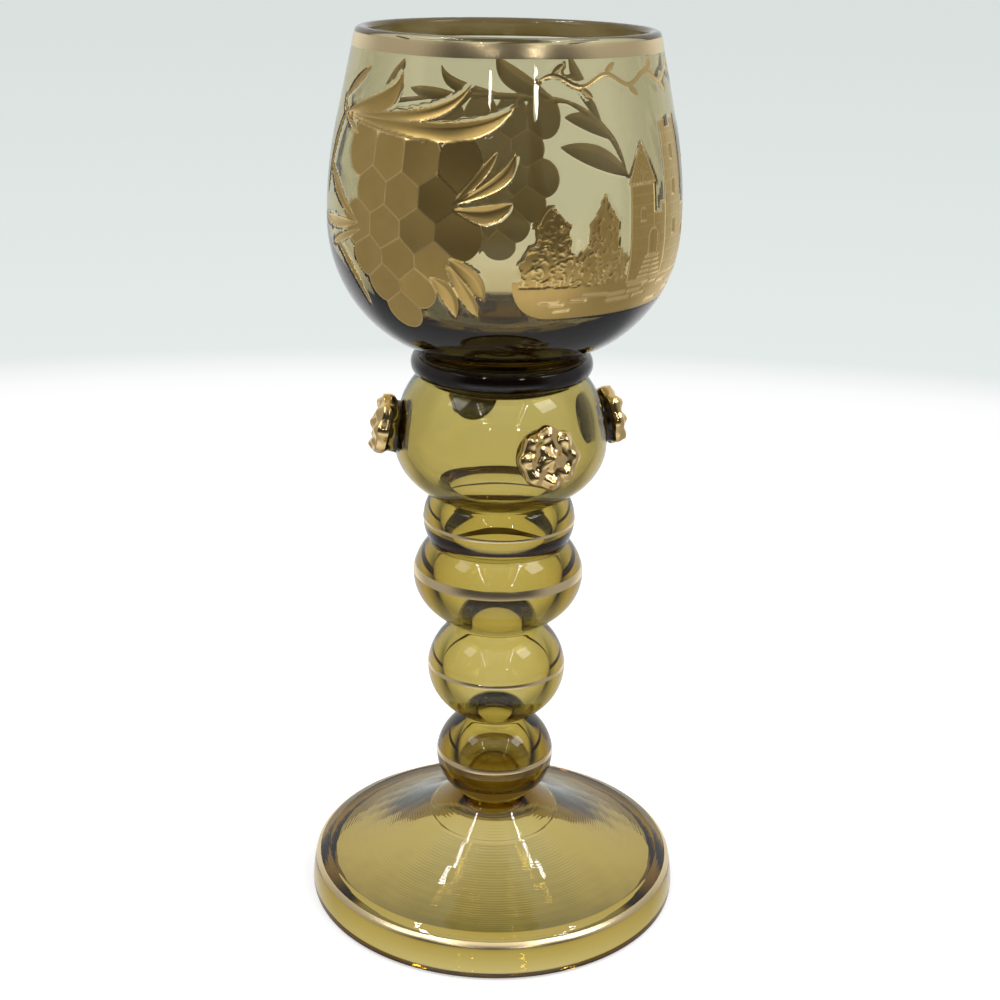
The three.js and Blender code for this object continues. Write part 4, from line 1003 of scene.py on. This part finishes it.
# ---- table, camera, lamps and world
TABLE_RADIUS = 400
TABLE_DROP = 0.03
points, faces = skinned([ring(0, 0, 1), ring(TABLE_RADIUS, 0, 96)])
floor_mesh = bpy.data.meshes.new("table")
floor_mesh.from_pydata((points * MM).tolist(), [], [face[::-1] for face in faces])
table = bpy.data.objects.new("table", floor_mesh)
table.location.z = -TABLE_DROP * MM
scene.collection.objects.link(table)
table_white, tree = empty_material("table_white")
matt = add(tree, "BsdfDiffuse", {"Color": (0.82, 0.82, 0.82, 1)})
glow = add(tree, "Emission", {"Color": (1, 1, 1, 1), "Strength": 0.45})
both = add(tree, "AddShader", {0: matt.outputs[0], 1: glow.outputs[0]})
add(tree, "OutputMaterial", {"Surface": both.outputs[0]})
floor_mesh.materials.append(table_white)
# Glass and metal take the table's light from the world, which holds it for every direction
table.visible_glossy = False
table.visible_transmission = False

# The camera's place, metres, and its turns up from straight down and to the side, fitted to the outline
CAMERA_PLACE = (0.00015, -0.3327, 0.2118)
CAMERA_TILT, CAMERA_ROLL = 70.24, 1.1
camera_data = bpy.data.cameras.new("camera")
camera_data.lens = 59.4
camera_data.sensor_width = 36
camera_data.clip_start = 0.01
camera = bpy.data.objects.new("camera", camera_data)
camera.matrix_world = (Matrix.Translation(CAMERA_PLACE)
                       @ Matrix.Rotation(math.radians(CAMERA_TILT), 4, "X")
                       @ Matrix.Rotation(math.radians(CAMERA_ROLL), 4, "Z"))
scene.collection.objects.link(camera)
scene.camera = camera

LAMP_CENTRE = Vector((0, 0, 0.1))
CEILING = 1.0


def lamp(name, azimuth, elevation, distance, size, power, shape="DISK", diffuse=0.0, height=None):
    """A lamp aimed at the middle of the glass, azimuth from the front towards +X."""
    data = bpy.data.lights.new(name, "AREA")
    data.shape = shape
    data.size = size
    if height is not None:
        data.size_y = height
    data.energy = power
    data.diffuse_factor = diffuse
    at = bpy.data.objects.new(name, data)
    a, e = math.radians(azimuth), math.radians(elevation)
    away = Vector((math.sin(a) * math.cos(e), -math.cos(a) * math.cos(e), math.sin(e)))
    at.location = LAMP_CENTRE + away * distance
    at.rotation_euler = away.to_track_quat("Z", "Y").to_euler()
    scene.collection.objects.link(at)
    at.visible_camera = False


# Two rows of small ceiling lamps run front to back over the glass, and two stand further in front
for side, start, spread in (("left", -0.40, -0.13), ("right", 0.45, 0.14)):
    for i, y in enumerate(np.linspace(-1.7, 0.2, 13)):
        x = start + spread * max(-y, 0)
        distance = math.sqrt(x * x + y * y + CEILING ** 2)
        overhead = ramp(y, -0.7, -0.3)
        lamp(f"spot_{side}_{i}", math.degrees(math.atan2(x, -y)),
             math.degrees(math.asin(CEILING / distance)), distance,
             0.034 + 0.020 * overhead, 0.14 + 0.22 * overhead)
lamp("spot_front_right", 20.2, 22.8, 1.0, 0.040, 0.16)
lamp("spot_front_left", -12, 23.2, 1.0, 0.026, 0.06)
lamp("window_right", 68, 44, 1.2, 0.42, 2.0, "RECTANGLE", 0.3, 0.36)
lamp("window_left", -66, 44, 1.2, 0.36, 0.9, "RECTANGLE", 0.3, 0.30)

scene.world = bpy.data.worlds.new("studio")
scene.world.use_nodes = True
sky = scene.world.node_tree
sky.nodes.clear()
parts = add(sky, "SeparateXYZ", {0: add(sky, "TexCoord").outputs["Generated"]})
path = add(sky, "LightPath").outputs


def sky_ramp(value, stops):
    """Colour over a value in -1..1, from a list of (value, grey or colour)."""
    scaled = add(sky, "MapRange", {"Value": value, "From Min": -1, "From Max": 1})
    band = add(sky, "ValToRGB", {0: scaled.outputs[0]})
    points = band.color_ramp.elements
    for i, (at, colour) in enumerate(stops):
        point = points[i] if i < 2 else points.new((at + 1) / 2)
        point.position = (at + 1) / 2
        colour = colour if isinstance(colour, tuple) else (colour,) * 3
        point.color = (*colour, 1)
    return band.outputs["Color"]


def mixed(factor, first, second):
    mix = add(sky, "Mix", {"Factor": factor, "A": first, "B": second}, data_type="RGBA")
    return mix.outputs["Result"]


def calc(operation, first, second):
    return add(sky, "Math", {0: first, 1: second}, operation=operation).outputs[0]


# How far a direction points to the back: 1 at the backdrop, -1 at the camera's side
side_on, back_on, up = parts.outputs
squares = [calc("MULTIPLY", run, run) for run in (side_on, back_on)]
level_run = calc("SQRT", calc("ADD", *squares), 0)
to_back = calc("DIVIDE", back_on, calc("MAXIMUM", level_run, 0.001))

# What the camera sees behind the table, by height of the direction
seen = sky_ramp(up, [(-0.269, 1), (-0.25, (0.783, 0.831, 0.815)), (-0.05, (0.7, 0.745, 0.73))])
DARK_ROOM = (0.05, 0.06, 0.072)
# What glass lets through: table and backdrop, and the dark room in an upright strip beside them
backdrop = sky_ramp(up, [(-1, 0.55), (-0.86, (0.37, 0.385, 0.385)), (-0.7, (0.36, 0.375, 0.375)),
                         (-0.64, (0.38, 0.39, 0.39)), (-0.6, 0.5), (-0.56, 0.65), (-0.5, 0.86),
                         (-0.42, 0.93), (-0.34, 0.92), (-0.17, (0.73, 0.78, 0.765)),
                         (0, (0.7, 0.745, 0.73)), (0.12, 0.8), (0.5, 0.74), (0.66, 0.65),
                         (0.85, 0.6), (1, 0.6)])
room = sky_ramp(up, [(-1, 0.6), (-0.9, 0.58), (-0.75, 0.5), (-0.65, 0.34), (-0.5, DARK_ROOM),
                     (1, DARK_ROOM)])
bright_field = sky_ramp(to_back, [(0, 1), (0.22, 0), (0.4, 0), (0.8, 1)])
through = mixed(bright_field, room, backdrop)
# What glass and gold reflect: the backdrop, the room's sides and the dark front with the table before it
front = sky_ramp(up, [(-1, 0.5), (-0.75, 0.75), (-0.62, 1), (-0.5, 0.65), (-0.3, 0.2), (-0.08, 0.05),
                      (0.3, 0.04), (0.45, 0.05), (0.65, 0.1), (0.78, 0.4), (0.88, 0.8)])
sides = sky_ramp(up, [(-1, 0.5), (-0.8, 0.4), (-0.6, 0.35), (-0.4, 0.36), (0.4, 0.38), (0.7, 0.45),
                      (0.8, 0.8)])
edge_of_backdrop = sky_ramp(to_back, [(0.38, 0), (0.8, 1)])
beside = sky_ramp(to_back, [(-0.72, 0), (-0.4, 1)])
glossy = mixed(edge_of_backdrop, mixed(beside, front, sides), backdrop)
colour = mixed(path["Is Glossy Ray"], (0.62, 0.62, 0.62, 1), glossy)
colour = mixed(path["Is Transmission Ray"], colour, through)
colour = mixed(path["Is Camera Ray"], colour, seen)
background = add(sky, "Background", {"Color": colour, "Strength": 1})
add(sky, "OutputWorld", {"Surface": background.outputs[0]})

scene.view_settings.view_transform = "Standard"
scene.cycles.use_denoising = True
scene.cycles.max_bounces = 28
scene.cycles.transmission_bounces = 28
scene.cycles.glossy_bounces = 8
scene.cycles.transparent_max_bounces = 12
